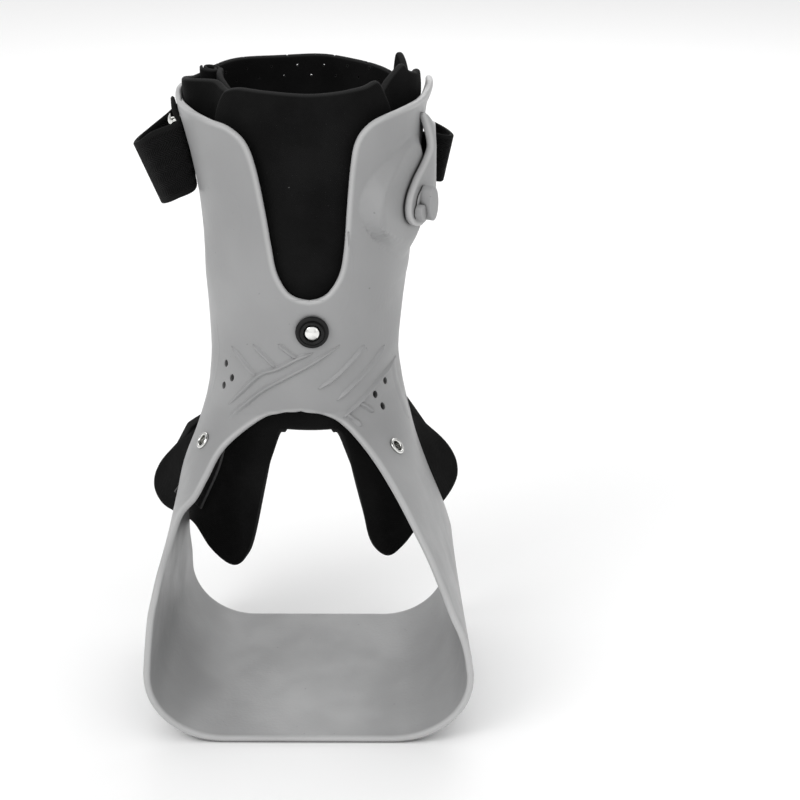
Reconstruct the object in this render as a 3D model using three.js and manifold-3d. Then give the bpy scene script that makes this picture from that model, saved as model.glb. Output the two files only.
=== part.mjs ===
// Foot drop brace: one moulded shell worn on the front of the shin, with a soft liner,
// a back band, a webbing strap and its small fittings.
// Units are millimetres, +Z is up, the toes point to -Y and the heel to +Y.
// The origin is the middle of the underside of the sole.
import * as THREE from 'three';
import { mergeVertices } from 'three/addons/utils/BufferGeometryUtils.js';
import Module from 'manifold-3d';

const wasm = await Module();
wasm.setup();

// Driving sizes of the moulded shell.
const SOLE_WIDTH = 110;        // widest place of the two side walls
const SOLE_LENGTH = 92;        // sole measured along the foot
const SHELL_HEIGHT = 210;      // underside of the sole to the tips of the wings
const SHELL_WALL = 2.4;        // one wall thickness all over
const FIT = 0.3;               // gap left between touching pieces

// Driving sizes of the raised and cut details.
const RIB_WIDTH = 1.7;
const RIB_HEIGHT = 0.6;
const VENT_WIDTH = 1.8;
const VENT_HEIGHT = 2.7;
const BOSS_HEIGHT = 3.3;

// Driving sizes of the fittings.
const COLLAR_DIA = 11.4;
const COLLAR_LIP_DIA = 7.6;
const CORE_DIA = 5.2;
const EYELET_DIA = 5.9;
const EYELET_BORE = 2.4;
const RIVET_DIA = 6.4;
const BUTTON_DIA = 11.8;
const BUTTON_HEIGHT = 3;
const SHANK_DIA = 4.8;
const LEVER_PLATE = 2.6;
const LEVER_RADIUS = 8.4;
const SLOT_WIDTH = 4.2;
const SLOT_LENGTH = 21;

// Driving sizes of the soft pieces.
const LINER_WALL = 3;
const BAND_WALL = 2.6;
const STRAP_WALL = 1.5;
const STRAP_WIDTH = 25;
const PERFORATION = 1.9;
const PERFORATION_PITCH = 7.2;
const PERFORATIONS = 15;        // holes in a row
const PATCH_WALL = 1.2;

const HALF_WIDTH = SOLE_WIDTH / 2;
const HALF_LENGTH = SOLE_LENGTH / 2;
const CORNER_RISE = 0.115;     // height of the rounded sole corners, share of the shell height

const up = new THREE.Vector3(0, 0, 1);
const vec = (x, y, z) => new THREE.Vector3(x, y, z);

// One row of the shell runs from its front edge to its rear edge.
// Columns: front x, y, z; rear x, y, z; corner x, y the row bends round; share of the row
// cut off at its front by the arch or the notch.
// x is a share of the half width, y of the half length, z of the shell height.
const LEFT_ROWS = [
  [-0.982, -1.000, 0.124, -0.882, 1.000, 0.121, -0.932, 0.000, 0],
  [-0.967, -1.000, 0.167, -0.880, 0.967, 0.148, -0.924, -0.016, 0],
  [-0.942, -0.989, 0.221, -0.884, 0.913, 0.181, -0.916, -0.035, 0],
  [-0.916, -0.957, 0.252, -0.880, 0.859, 0.210, -0.909, -0.045, 0],
  [-0.882, -0.859, 0.288, -0.873, 0.804, 0.238, -0.898, 0.000, 0],
  [-0.845, -0.674, 0.314, -0.869, 0.761, 0.267, -0.895, 0.080, 0],
  [-0.800, -0.370, 0.340, -0.862, 0.728, 0.298, -0.887, 0.170, 0],
  [-0.713, -0.207, 0.357, -0.847, 0.707, 0.329, -0.880, 0.170, 0],
  [-0.040, -0.480, 0.403, -0.811, 0.702, 0.362, -0.890, -0.480, 0.540],
  [-0.045, -0.160, 0.436, -0.745, 0.717, 0.405, -0.810, -0.160, 0.470],
  [-0.055, 0.026, 0.474, -0.684, 0.739, 0.455, -0.735, 0.026, 0.250],
  [-0.055, 0.043, 0.485, -0.662, 0.761, 0.481, -0.705, 0.043, 0.110],
  [-0.055, 0.043, 0.489, -0.649, 0.772, 0.502, -0.695, 0.043, 0],
  [-0.036, 0.043, 0.548, -0.633, 0.783, 0.552, -0.680, 0.043, 0],
  [-0.018, 0.039, 0.619, -0.640, 0.804, 0.621, -0.690, 0.039, 0],
  [0.009, 0.035, 0.680, -0.655, 0.826, 0.681, -0.709, 0.035, 0],
  [0.009, 0.035, 0.683, -0.656, 0.831, 0.690, -0.711, 0.035, 0.060],
  [0.009, 0.034, 0.694, -0.657, 0.837, 0.702, -0.713, 0.034, 0.120],
  [0.009, 0.032, 0.724, -0.658, 0.848, 0.729, -0.716, 0.032, 0.175],
  [0.009, 0.030, 0.767, -0.664, 0.870, 0.767, -0.726, 0.030, 0.200],
  [0.009, 0.028, 0.829, -0.684, 0.891, 0.824, -0.755, 0.028, 0.225],
  [0.009, 0.024, 0.895, -0.727, 0.935, 0.883, -0.811, 0.024, 0.250],
  [0.009, 0.022, 0.937, -0.760, 0.967, 0.916, -0.850, 0.022, 0.283],
  [0.009, 0.020, 0.960, -0.785, 1.000, 0.938, -0.880, 0.020, 0.347],
  [0.009, 0.018, 0.972, -0.800, 1.022, 0.952, -0.900, 0.018, 0.465],
  [0.009, 0.018, 0.975, -0.812, 1.043, 0.967, -0.915, 0.018, 0.700],
  [0.009, 0.018, 0.980, -0.815, 1.055, 0.974, -0.922, 0.018, 0.830],
  [0.009, 0.018, 0.988, -0.810, 1.050, 0.984, -0.920, 0.018, 0.920],
];
const RIGHT_ROWS = [
  [1.000, -1.000, 0.124, 0.891, 1.000, 0.121, 0.945, 0.000, 0],
  [0.978, -1.000, 0.164, 0.895, 0.967, 0.148, 0.936, -0.016, 0],
  [0.944, -1.000, 0.195, 0.891, 0.920, 0.174, 0.920, -0.035, 0],
  [0.889, -0.967, 0.226, 0.884, 0.880, 0.198, 0.895, -0.043, 0],
  [0.829, -0.902, 0.264, 0.865, 0.837, 0.221, 0.865, 0.000, 0],
  [0.755, -0.783, 0.303, 0.836, 0.804, 0.248, 0.840, 0.090, 0],
  [0.658, -0.609, 0.341, 0.793, 0.783, 0.279, 0.804, 0.170, 0],
  [0.547, -0.391, 0.379, 0.742, 0.761, 0.314, 0.764, 0.170, 0],
  [-0.040, -0.390, 0.452, 0.684, 0.752, 0.357, 0.727, -0.390, 0.420],
  [-0.055, -0.098, 0.459, 0.633, 0.752, 0.400, 0.684, -0.098, 0.325],
  [-0.055, 0.022, 0.470, 0.593, 0.761, 0.443, 0.640, 0.022, 0.232],
  [-0.055, 0.043, 0.481, 0.567, 0.767, 0.474, 0.611, 0.043, 0.133],
  [-0.055, 0.043, 0.489, 0.549, 0.772, 0.500, 0.589, 0.043, 0],
  [-0.036, 0.043, 0.548, 0.527, 0.783, 0.550, 0.571, 0.043, 0],
  [-0.018, 0.039, 0.619, 0.549, 0.804, 0.621, 0.596, 0.039, 0],
  [0.009, 0.035, 0.680, 0.578, 0.826, 0.681, 0.629, 0.035, 0],
  [0.009, 0.035, 0.683, 0.585, 0.831, 0.690, 0.636, 0.035, 0.062],
  [0.009, 0.034, 0.694, 0.593, 0.837, 0.702, 0.644, 0.034, 0.124],
  [0.009, 0.032, 0.722, 0.604, 0.848, 0.729, 0.658, 0.032, 0.185],
  [0.009, 0.030, 0.765, 0.618, 0.870, 0.767, 0.675, 0.030, 0.210],
  [0.009, 0.028, 0.829, 0.646, 0.891, 0.824, 0.700, 0.028, 0.220],
  [0.009, 0.024, 0.900, 0.669, 0.935, 0.886, 0.727, 0.024, 0.235],
  [0.009, 0.022, 0.940, 0.684, 0.967, 0.919, 0.745, 0.022, 0.257],
  [0.009, 0.020, 0.966, 0.695, 1.000, 0.943, 0.764, 0.020, 0.315],
  [0.009, 0.018, 0.982, 0.705, 1.022, 0.960, 0.782, 0.018, 0.425],
  [0.009, 0.018, 0.986, 0.725, 1.043, 0.974, 0.812, 0.018, 0.620],
  [0.009, 0.018, 0.992, 0.738, 1.060, 0.986, 0.832, 0.018, 0.790],
  [0.009, 0.018, 1.002, 0.738, 1.052, 0.997, 0.834, 0.018, 0.900],
];

// Half width of the flat part of the sole at its front and rear edge, share of the half width.
const FLAT_FRONT = 0.510;
const FLAT_REAR = 0.440;

// The front edges of both sides meet along the middle of the bridge, between these two rows.
const APEX_ROW = 12;
const NOTCH_ROW = 15;

// A smooth curve through the rows of a table; the first columns, up to broken, turn a corner
// at the stops.
function smoothRow(rows, at, stops = [], broken = 0) {
  const i = Math.min(Math.floor(at), rows.length - 2);
  const f = at - i;
  const b = rows[i];
  const c = rows[i + 1];
  return b.map((_, k) => {
    const first = i === 0 || (k < broken && stops.includes(i));
    const last = i + 2 === rows.length || (k < broken && stops.includes(i + 1));
    const before = first ? 2 * b[k] - c[k] : rows[i - 1][k];
    const after = last ? 2 * c[k] - b[k] : rows[i + 2][k];
    return b[k] + 0.5 * f * (c[k] - before
      + f * (2 * before - 5 * b[k] + 4 * c[k] - after
      + f * (3 * (b[k] - c[k]) + after - before)));
  });
}

// A row as the twelve numbers of its four control points, with its cut front end left away.
function rowCurve([fx, fy, fz, rx, ry, rz, kx, ky, cut]) {
  const pull = 0.5523;
  const kz = (fz + rz) / 2;
  const ends = [[fx, kx, rx], [fy, ky, ry], [fz, kz, rz]].map(([f, k, r]) => {
    const mix = (a, b) => a + (b - a) * cut;
    const p = [f, f + pull * (k - f), r + pull * (k - r), r];
    const q = [mix(p[0], p[1]), mix(p[1], p[2]), mix(p[2], p[3])];
    const w = [mix(q[0], q[1]), mix(q[1], q[2])];
    return [mix(w[0], w[1]), w[1], q[2], p[3]];
  });
  return [0, 1, 2, 3].flatMap((k) => ends.map((axis) => axis[k]));
}

const shellRow = (curves, at) => smoothRow(curves, at, [APEX_ROW, NOTCH_ROW], 9);

// The sole rows follow a quarter ellipse from the flat to the first row of the side wall.
function soleRow(rows, turn) {
  const top = rows[0];
  const side = Math.sign(top[0]);
  const floor = SHELL_WALL / 2 / SHELL_HEIGHT;
  const s = Math.sin(turn);
  const c = 1 - Math.cos(turn);
  const front = side * (FLAT_FRONT + (Math.abs(top[0]) - FLAT_FRONT) * s);
  const rear = side * (FLAT_REAR + (Math.abs(top[3]) - FLAT_REAR) * s);
  const rise = floor + (CORNER_RISE - floor) * c;
  return rowCurve([front, top[1], rise, rear, top[4], rise, (front + rear) / 2, 0, 0]);
}

// The whole row list of one side, from the middle of the sole to the wing tip.
function sideRows(rows, perRow) {
  const curves = rows.map(rowCurve);
  const floor = SHELL_WALL / 2 / SHELL_HEIGHT;
  const list = [rowCurve([0, -1, floor, 0, 1, floor, 0, 0, 0])];
  for (let i = 0; i < 5; i += 1) {
    list.push(soleRow(rows, (i / 5) * Math.PI / 2));
  }
  for (let i = 0; i < rows.length - 1; i += 1) {
    const fine = i < 5 || (i > APEX_ROW && i < NOTCH_ROW) ? 1 : perRow;
    for (let j = 0; j < fine; j += 1) {
      list.push(shellRow(curves, i + j / fine));
    }
  }
  list.push(curves[rows.length - 1]);
  return list;
}

// A point of a row at share t from its front edge to its rear edge.
function rowPoint(curve, t) {
  const m = 1 - t;
  const weights = [m * m * m, 3 * m * m * t, 3 * m * t * t, t * t * t];
  const sum = (axis) => weights.reduce((total, w, k) => total + w * curve[3 * k + axis], 0);
  return vec(HALF_WIDTH * sum(0), HALF_LENGTH * sum(1), SHELL_HEIGHT * sum(2));
}

// A grid of points as one patch of a sheet; flip turns its outward side round.
function patch(count, across, at, flip) {
  const grid = [];
  for (let i = 0; i <= count; i += 1) {
    const line = [];
    for (let j = 0; j <= across; j += 1) {
      line.push(at(i / count, j / across));
    }
    grid.push(line);
  }
  return { grid, flip };
}

// Gives a sheet its thickness: skins at the offsets low and high along the normals, rims closed.
function thicken(patches, low, high) {
  const index = new Map();
  const points = [];
  const faces = [];
  const id = (p) => {
    const key = `${Math.round(p.x * 1e4)},${Math.round(p.y * 1e4)},${Math.round(p.z * 1e4)}`;
    if (!index.has(key)) {
      index.set(key, points.length);
      points.push(p);
    }
    return index.get(key);
  };
  for (const { grid, flip } of patches) {
    for (let i = 0; i + 1 < grid.length; i += 1) {
      for (let j = 0; j + 1 < grid[i].length; j += 1) {
        const q = [grid[i][j], grid[i + 1][j], grid[i + 1][j + 1], grid[i][j + 1]].map(id);
        const cut = points[q[0]].distanceTo(points[q[2]]) <= points[q[1]].distanceTo(points[q[3]]);
        const two = cut ? [[q[0], q[1], q[2]], [q[0], q[2], q[3]]] : [[q[0], q[1], q[3]], [q[1], q[2], q[3]]];
        for (const f of two) {
          if (new Set(f).size === 3) {
            faces.push(flip ? [f[0], f[2], f[1]] : f);
          }
        }
      }
    }
  }
  const normals = points.map(() => vec(0, 0, 0));
  const edges = new Map();
  for (const f of faces) {
    const [a, b, c] = f.map((k) => points[k]);
    const n = b.clone().sub(a).cross(c.clone().sub(a));
    f.forEach((k) => normals[k].add(n));
    f.forEach((k, e) => edges.set(`${k},${f[(e + 1) % 3]}`, [k, f[(e + 1) % 3]]));
  }
  normals.forEach((n) => n.normalize());
  const lowAt = typeof low === 'function' ? low : () => low;
  const highAt = typeof high === 'function' ? high : () => high;
  const all = [];
  points.forEach((p, k) => all.push(p.clone().addScaledVector(normals[k], highAt(p))));
  points.forEach((p, k) => all.push(p.clone().addScaledVector(normals[k], lowAt(p))));
  const count = points.length;
  const tris = [];
  for (const [a, b, c] of faces) {
    tris.push([a, b, c], [a + count, c + count, b + count]);
  }
  for (const [key, [a, b]] of edges) {
    if (!edges.has(`${b},${a}`)) {
      tris.push([b, a, a + count], [b, a + count, b + count]);
    }
  }
  return solidOf(all, tris);
}

// Points and triangles as one plain three.js geometry.
function solidOf(points, tris) {
  const flat = new Float32Array(points.length * 3);
  points.forEach((p, k) => flat.set([p.x, p.y, p.z], k * 3));
  const geometry = new THREE.BufferGeometry();
  geometry.setAttribute('position', new THREE.BufferAttribute(flat, 3));
  geometry.setIndex(tris.flat());
  return geometry;
}

function toManifold(geometry) {
  const bare = geometry.clone();
  bare.deleteAttribute('normal');
  bare.deleteAttribute('uv');
  const merged = mergeVertices(bare, 1e-4);
  return new wasm.Manifold(new wasm.Mesh({
    numProp: 3,
    vertProperties: Float32Array.from(merged.attributes.position.array),
    triVerts: Uint32Array.from(merged.index.array),
  }));
}

function toGeometry(body) {
  const mesh = body.getMesh();
  const geometry = new THREE.BufferGeometry();
  const step = mesh.numProp;
  const count = mesh.vertProperties.length / step;
  const flat = new Float32Array(count * 3);
  for (let k = 0; k < count; k += 1) {
    flat.set(mesh.vertProperties.slice(k * step, k * step + 3), k * 3);
  }
  geometry.setAttribute('position', new THREE.BufferAttribute(flat, 3));
  geometry.setIndex(Array.from(mesh.triVerts));
  return geometry;
}

// A solid lofted through rings of points that all have the same length.
function loft(rings) {
  const n = rings[0].length;
  const points = rings.flat();
  const tris = [];
  for (let r = 0; r + 1 < rings.length; r += 1) {
    for (let k = 0; k < n; k += 1) {
      const a = r * n + k;
      const b = r * n + ((k + 1) % n);
      tris.push([a, b, b + n], [a, b + n, a + n]);
    }
  }
  for (const [r, turn] of [[0, false], [rings.length - 1, true]]) {
    const mid = points.length;
    const centre = vec(0, 0, 0);
    rings[r].forEach((p) => centre.addScaledVector(p, 1 / n));
    points.push(centre);
    for (let k = 0; k < n; k += 1) {
      const a = r * n + k;
      const b = r * n + ((k + 1) % n);
      tris.push(turn ? [a, b, mid] : [b, a, mid]);
    }
  }
  return solidOf(points, tris);
}

// A frame on a surface: origin, outward axis and two directions across it.
function frameAt(origin, axis) {
  const n = axis.clone().normalize();
  const side = up.clone().cross(n).normalize();
  return { origin, n, side, tall: n.clone().cross(side) };
}

function place(frame, a, b, h) {
  return frame.origin.clone()
    .addScaledVector(frame.side, a)
    .addScaledVector(frame.tall, b)
    .addScaledVector(frame.n, h);
}

// A turned solid on a frame; the profile lists radius and height from its low to its high end.
function turned(frame, profile, steps) {
  return loft(profile.map(([radius, height]) => {
    const ring = [];
    for (let k = 0; k < steps; k += 1) {
      const a = (k / steps) * 2 * Math.PI;
      ring.push(place(frame, radius * Math.cos(a), radius * Math.sin(a), height));
    }
    return ring;
  }));
}

function ovalPin(frame, wide, tall, low, high) {
  return loft([low, high].map((h) => {
    const ring = [];
    for (let k = 0; k < 12; k += 1) {
      const a = (k / 12) * 2 * Math.PI;
      ring.push(place(frame, wide / 2 * Math.cos(a), tall / 2 * Math.sin(a), h));
    }
    return ring;
  }));
}

// Finds the shell point that shows at the given x or y and z, with its outward normal.
function shellAt(rows, want, key) {
  const side = Math.sign(rows[0][0]);
  const curves = rows.map(rowCurve);
  const at = (k, t) => rowPoint(shellRow(curves, k), t);
  const miss = (p) => Math.hypot(p[key] - want[0], p.z - want[1]);
  let best = [0, 0, Infinity];
  for (let k = 0; k < rows.length - 1; k += 0.5) {
    for (let t = 0; t <= 1; t += 0.1) {
      const d = miss(at(k, t));
      if (d < best[2]) {
        best = [k, t, d];
      }
    }
  }
  let stepK = 0.5;
  let stepT = 0.1;
  for (let round = 0; round < 24; round += 1) {
    const [k0, t0] = best;
    for (const dk of [-1, 0, 1]) {
      for (const dt of [-1, 0, 1]) {
        const k = Math.min(Math.max(k0 + dk * stepK, 0), rows.length - 1.001);
        const t = Math.min(Math.max(t0 + dt * stepT, 0), 1);
        const d = miss(at(k, t));
        if (d < best[2]) {
          best = [k, t, d];
        }
      }
    }
    stepK *= 0.7;
    stepT *= 0.7;
  }
  const [k, t] = best;
  const p = at(k, t);
  const dk = at(Math.min(k + 0.02, rows.length - 1.001), t).sub(at(Math.max(k - 0.02, 0), t));
  const dt = at(k, Math.min(t + 0.01, 1)).sub(at(k, Math.max(t - 0.01, 0)));
  const n = dk.cross(dt).normalize().multiplyScalar(-side);
  return { p, n, miss: miss(p) };
}

function onShell(want, key) {
  const left = shellAt(LEFT_ROWS, want, key);
  const right = shellAt(RIGHT_ROWS, want, key);
  return left.miss < right.miss ? left : right;
}

const LEFT_ALL = sideRows(LEFT_ROWS, 2);
const RIGHT_ALL = sideRows(RIGHT_ROWS, 2);
const SKIN = SHELL_WALL / 2;
const ACROSS = 8;              // facets across a row of the shell

function shellPatch(list, across, flip) {
  const last = list.length - 1;
  return patch(last, across, (i, t) => rowPoint(list[Math.round(i * last)], t), flip);
}

// A low bar along a line of x, z points drawn on the front of the shell.
function rib(line) {
  const stations = line.map(([x, z]) => vec(x * HALF_WIDTH, 0, z * SHELL_HEIGHT));
  return loft(stations.map((p, i) => {
    const a = stations[Math.max(i - 1, 0)];
    const b = stations[Math.min(i + 1, stations.length - 1)];
    const along = b.clone().sub(a).normalize();
    const across = vec(along.z, 0, -along.x).multiplyScalar(RIB_WIDTH / 2);
    const near = p.clone().sub(across);
    const far = p.clone().add(across);
    const l = onShell([near.x, near.z], 'x');
    const r = onShell([far.x, far.z], 'x');
    const lift = (e, h) => e.p.clone().addScaledVector(e.n, SKIN + h);
    const inset = (e, o) => lift(e, RIB_HEIGHT).lerp(lift(o, RIB_HEIGHT), 0.2);
    return [lift(r, -0.5), lift(l, -0.5), inset(l, r), inset(r, l)];
  }));
}

// Raised lines of the bridge, as shares of the half width and the shell height.
const RIBS = [
  [[-0.507, 0.482], [-0.311, 0.545], [-0.194, 0.562], [-0.068, 0.582], [0.024, 0.592]],
  [[-0.502, 0.459], [-0.437, 0.480], [-0.292, 0.520], [-0.143, 0.548], [0.013, 0.573], [0.182, 0.602]],
  [[-0.477, 0.585], [-0.322, 0.543]],
  [[-0.338, 0.599], [-0.200, 0.564]],
  [[-0.185, 0.605], [-0.070, 0.582]],
  [[0.329, 0.594], [0.267, 0.576], [0.165, 0.549], [0.052, 0.528]],
  [[0.446, 0.581], [0.389, 0.561], [0.266, 0.530], [0.162, 0.505]],
  [[0.512, 0.545], [0.350, 0.508], [0.203, 0.473]],
  [[0.290, 0.497], [0.383, 0.472]],
  [[0.218, 0.480], [0.311, 0.454]],
];

// Vent holes of the bridge: x and z of their middles, same shares as the ribs.
const VENTS = [
  [-0.517, 0.551], [-0.481, 0.530], [-0.537, 0.511],
  [0.450, 0.517], [0.391, 0.501], [0.438, 0.476],
];

// The seat of the lever: a raised pad on the right side with a flat top.
const SEAT_TURN = 62 * Math.PI / 180;
const seat = frameAt(
  vec(0.655 * HALF_WIDTH, 0.478 * HALF_LENGTH, 0.818 * SHELL_HEIGHT),
  vec(Math.sin(SEAT_TURN), -Math.cos(SEAT_TURN), 0),
);

// Outlines of the pad across its seat frame, as shares of the lever radius: foot and top.
const PAD_FOOT = [
  [-0.68, 2.80], [-1.30, 2.45], [-2.08, 2.00], [-2.83, 1.25], [-3.04, 0.39], [-2.85, -0.42],
  [-1.94, -1.44], [-1.19, -2.06], [-0.65, -2.02], [0.20, -1.65], [0.90, -1.10], [1.20, 0.00],
  [1.25, 1.20], [1.00, 2.20], [0.30, 2.75],
];
const PAD_TOP = [
  [-0.60, 2.35], [-1.05, 2.28], [-1.56, 2.05], [-2.15, 1.30], [-2.38, 0.50], [-2.31, -0.36],
  [-1.57, -1.40], [-1.10, -1.66], [-0.65, -1.55], [0.15, -1.25], [0.50, -0.85], [0.68, 0.00],
  [0.70, 1.10], [0.55, 1.85], [0.15, 2.25],
];

function pad() {
  const ring = (outline, h) => outline
    .map(([a, b]) => place(seat, a * LEVER_RADIUS, b * LEVER_RADIUS, h));
  const rows = RIGHT_ROWS.slice(APEX_ROW + 1, -1).map(rowCurve);
  const zone = thicken([shellPatch(rows, ACROSS, true)], -0.5, BOSS_HEIGHT + 5);
  const block = loft([
    ring(PAD_FOOT, -BOSS_HEIGHT - 9),
    ring(PAD_FOOT, -BOSS_HEIGHT),
    ring(PAD_TOP, 0),
  ]);
  return toManifold(block).intersect(toManifold(zone));
}

const valve = frontFrame(0.022, 0.629);
const eyeletLeft = frontFrame(-0.676, 0.413);
const eyeletRight = frontFrame(0.525, 0.412);
const rivetFrame = sideFrame(LEFT_ROWS, 0.826, 0.936);

function frontFrame(x, z) {
  const { p, n } = onShell([x * HALF_WIDTH, z * SHELL_HEIGHT], 'x');
  return frameAt(p, n);
}

function sideFrame(rows, y, z) {
  const { p, n } = shellAt(rows, [y * HALF_LENGTH, z * SHELL_HEIGHT], 'y');
  return frameAt(p, n);
}

function buildShell() {
  const sides = [shellPatch(LEFT_ALL, ACROSS, false), shellPatch(RIGHT_ALL, ACROSS, true)];
  let body = toManifold(thicken(sides, -SKIN, SKIN));
  body = body.add(pad());
  for (const line of RIBS) {
    body = body.add(toManifold(rib(line)));
  }
  for (const [x, z] of VENTS) {
    body = body.subtract(toManifold(ovalPin(frontFrame(x, z), VENT_WIDTH, VENT_HEIGHT, -4, 4)));
  }
  const bore = (frame, dia, low, high) => {
    const r = dia / 2 + FIT;
    body = body.subtract(toManifold(turned(frame, [[r, low], [r, high]], 14)));
  };
  bore(valve, COLLAR_LIP_DIA, -4, 4);
  bore(eyeletLeft, EYELET_BORE + 1.4, -4, 4);
  bore(eyeletRight, EYELET_BORE + 1.4, -4, 4);
  bore(rivetFrame, RIVET_DIA / 2, -4, 4);
  bore(seat, SHANK_DIA, -9, 4);
  return toGeometry(body);
}

// One section of the liner: half widths left and right, front, side and rear positions.
// Columns: height share, left and right shares of the half width, three shares of the half length.
const LINER_LEVELS = [
  [0.448, 0.618, 0.535, 0.122, 0.760, 1.480],
  [0.500, 0.587, 0.489, 0.122, 0.770, 1.480],
  [0.552, 0.571, 0.458, 0.122, 0.783, 1.500],
  [0.624, 0.578, 0.489, 0.122, 0.800, 1.520],
  [0.690, 0.593, 0.520, 0.122, 0.826, 1.550],
  [0.776, 0.600, 0.556, 0.126, 0.870, 1.600],
  [0.881, 0.650, 0.600, 0.130, 0.930, 1.660],
  [0.952, 0.695, 0.625, 0.135, 0.980, 1.690],
  [1.040, 0.700, 0.625, 0.140, 1.000, 1.700],
];

// Columns of the liner from the middle of its front to its rear edge.
// Columns: turn as a share of half a round, top height share, lobe end x, y, z shares.
const LINER_LEFT = [
  [0.000, 1.012, 0, 0, 0],
  [0.060, 1.013, 0, 0, 0],
  [0.105, 1.014, -0.214, 0.185, 0.436],
  [0.140, 1.014, -0.300, 0.262, 0.340],
  [0.180, 1.014, -0.389, 0.370, 0.227],
  [0.215, 1.010, -0.448, 0.413, 0.187],
  [0.255, 1.000, -0.540, 0.435, 0.168],
  [0.290, 1.005, -0.685, 0.600, 0.180],
  [0.325, 1.011, -0.823, 0.880, 0.202],
  [0.380, 1.010, -0.961, 1.050, 0.207],
  [0.440, 1.005, -1.057, 1.090, 0.221],
  [0.500, 0.998, -1.112, 1.130, 0.250],
  [0.560, 0.998, -1.088, 1.130, 0.285],
  [0.620, 1.002, -0.970, 1.100, 0.325],
  [0.680, 0.996, -0.863, 1.040, 0.375],
];
const LINER_RIGHT = [
  [0.000, 1.012, 0, 0, 0],
  [0.060, 1.013, 0, 0, 0],
  [0.105, 1.014, 0.202, 0.185, 0.434],
  [0.135, 1.014, 0.258, 0.260, 0.362],
  [0.170, 1.014, 0.321, 0.348, 0.277],
  [0.200, 1.018, 0.368, 0.400, 0.217],
  [0.235, 1.018, 0.471, 0.435, 0.186],
  [0.275, 1.000, 0.568, 0.565, 0.191],
  [0.320, 1.017, 0.660, 0.740, 0.206],
  [0.371, 1.033, 0.811, 1.000, 0.224],
  [0.440, 1.016, 0.900, 1.070, 0.251],
  [0.500, 0.985, 0.944, 1.100, 0.282],
  [0.560, 0.985, 0.908, 1.100, 0.320],
  [0.620, 1.005, 0.745, 1.060, 0.370],
  [0.680, 1.000, 0.590, 1.000, 0.431],
];
const LOBE_START = 2;
const LINER_FOOT = LINER_LEVELS[0][0];

function levelAt(z) {
  const i = LINER_LEVELS.findIndex((row) => row[0] > z);
  if (i <= 0) {
    return LINER_LEVELS[i === 0 ? 0 : LINER_LEVELS.length - 1];
  }
  const a = LINER_LEVELS[i - 1];
  const b = LINER_LEVELS[i];
  const f = (z - a[0]) / (b[0] - a[0]);
  return a.map((v, k) => v + f * (b[k] - v));
}

// A point round the leg: side -1 left or 1 right, turn from the front, spread outward in mm.
function roundLeg(side, turn, z, spread) {
  const [, left, right, front, mid, rear] = levelAt(z);
  const angle = turn * Math.PI;
  const half = (side < 0 ? left : right) * HALF_WIDTH + spread;
  const reach = turn < 0.5 ? (mid - front) * HALF_LENGTH + spread : (rear - mid) * HALF_LENGTH + spread;
  return vec(side * half * Math.sin(angle), mid * HALF_LENGTH - reach * Math.cos(angle), z * SHELL_HEIGHT);
}

function tubePoint(table, i, j) {
  const [turn, top] = smoothRow(table, j);
  const side = Math.sign(table[LOBE_START][2]);
  return roundLeg(side, turn, LINER_FOOT + (top - LINER_FOOT) * i, 0);
}

// The lobes leave the foot of the liner straight down and turn outward to their ends.
function lobePoint(table, j, v) {
  const from = tubePoint(table, 0, j);
  const [, , x, y, z] = smoothRow(table.slice(LOBE_START), j - LOBE_START);
  const end = vec(x * HALF_WIDTH, y * HALF_LENGTH, z * SHELL_HEIGHT);
  const drop = from.z - end.z;
  const c1 = from.clone().addScaledVector(up, -0.4 * drop);
  const c2 = from.clone().lerp(end, 0.62);
  const m = 1 - v;
  return from.clone().multiplyScalar(m * m * m)
    .addScaledVector(c1, 3 * m * m * v)
    .addScaledVector(c2, 3 * m * v * v)
    .addScaledVector(end, v * v * v);
}

function buildLiner() {
  const last = LINER_LEFT.length - 1;
  const patches = [];
  for (const [table, flip] of [[LINER_LEFT, false], [LINER_RIGHT, true]]) {
    patches.push(patch(7, last, (i, j) => tubePoint(table, i, j * last), flip));
    const lobe = patch(6, last - LOBE_START, (i, j) => (
      lobePoint(table, LOBE_START + j * (last - LOBE_START), 1 - i)), flip);
    patches.push(lobe);
  }
  return thicken(patches, -LINER_WALL / 2, LINER_WALL / 2);
}

// The back band closes the liner behind the leg.
const BAND_FOOT = 0.705;
const BAND_TOP = 0.996;
const BAND_TURN = 0.62;
const BAND_SPREAD = (LINER_WALL + BAND_WALL) / 2 + 2 * FIT;

function bandPoint(i, s) {
  const turn = BAND_TURN + (1 - BAND_TURN) * 2 * s;
  const z = BAND_FOOT + (BAND_TOP - BAND_FOOT) * i;
  return turn <= 1 ? roundLeg(-1, turn, z, BAND_SPREAD) : roundLeg(1, 2 - turn, z, BAND_SPREAD);
}

function buildBand() {
  const count = 16;
  let body = toManifold(thicken([patch(4, count, bandPoint, false)], -BAND_WALL / 2, BAND_WALL / 2));
  const height = (BAND_TOP - BAND_FOOT) * SHELL_HEIGHT;
  const reach = 1 - 2 * PERFORATION_PITCH / 150;
  for (let row = 0; row < 2; row += 1) {
    const holes = PERFORATIONS - (row % 2);
    for (let k = 0; k < holes; k += 1) {
      const s = 0.5 + reach * ((k - (holes - 1) / 2) / PERFORATIONS);
      const i = 1 - (2.9 + row * PERFORATION_PITCH / 2) / height;
      const p = bandPoint(i, s);
      const axis = bandPoint(i, s + 0.01).sub(bandPoint(i, s - 0.01)).cross(up).negate();
      const hole = turned(frameAt(p, axis), [[PERFORATION / 2, -3], [PERFORATION / 2, 3]], 5);
      body = body.subtract(toManifold(hole));
    }
  }
  return toGeometry(body);
}

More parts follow.
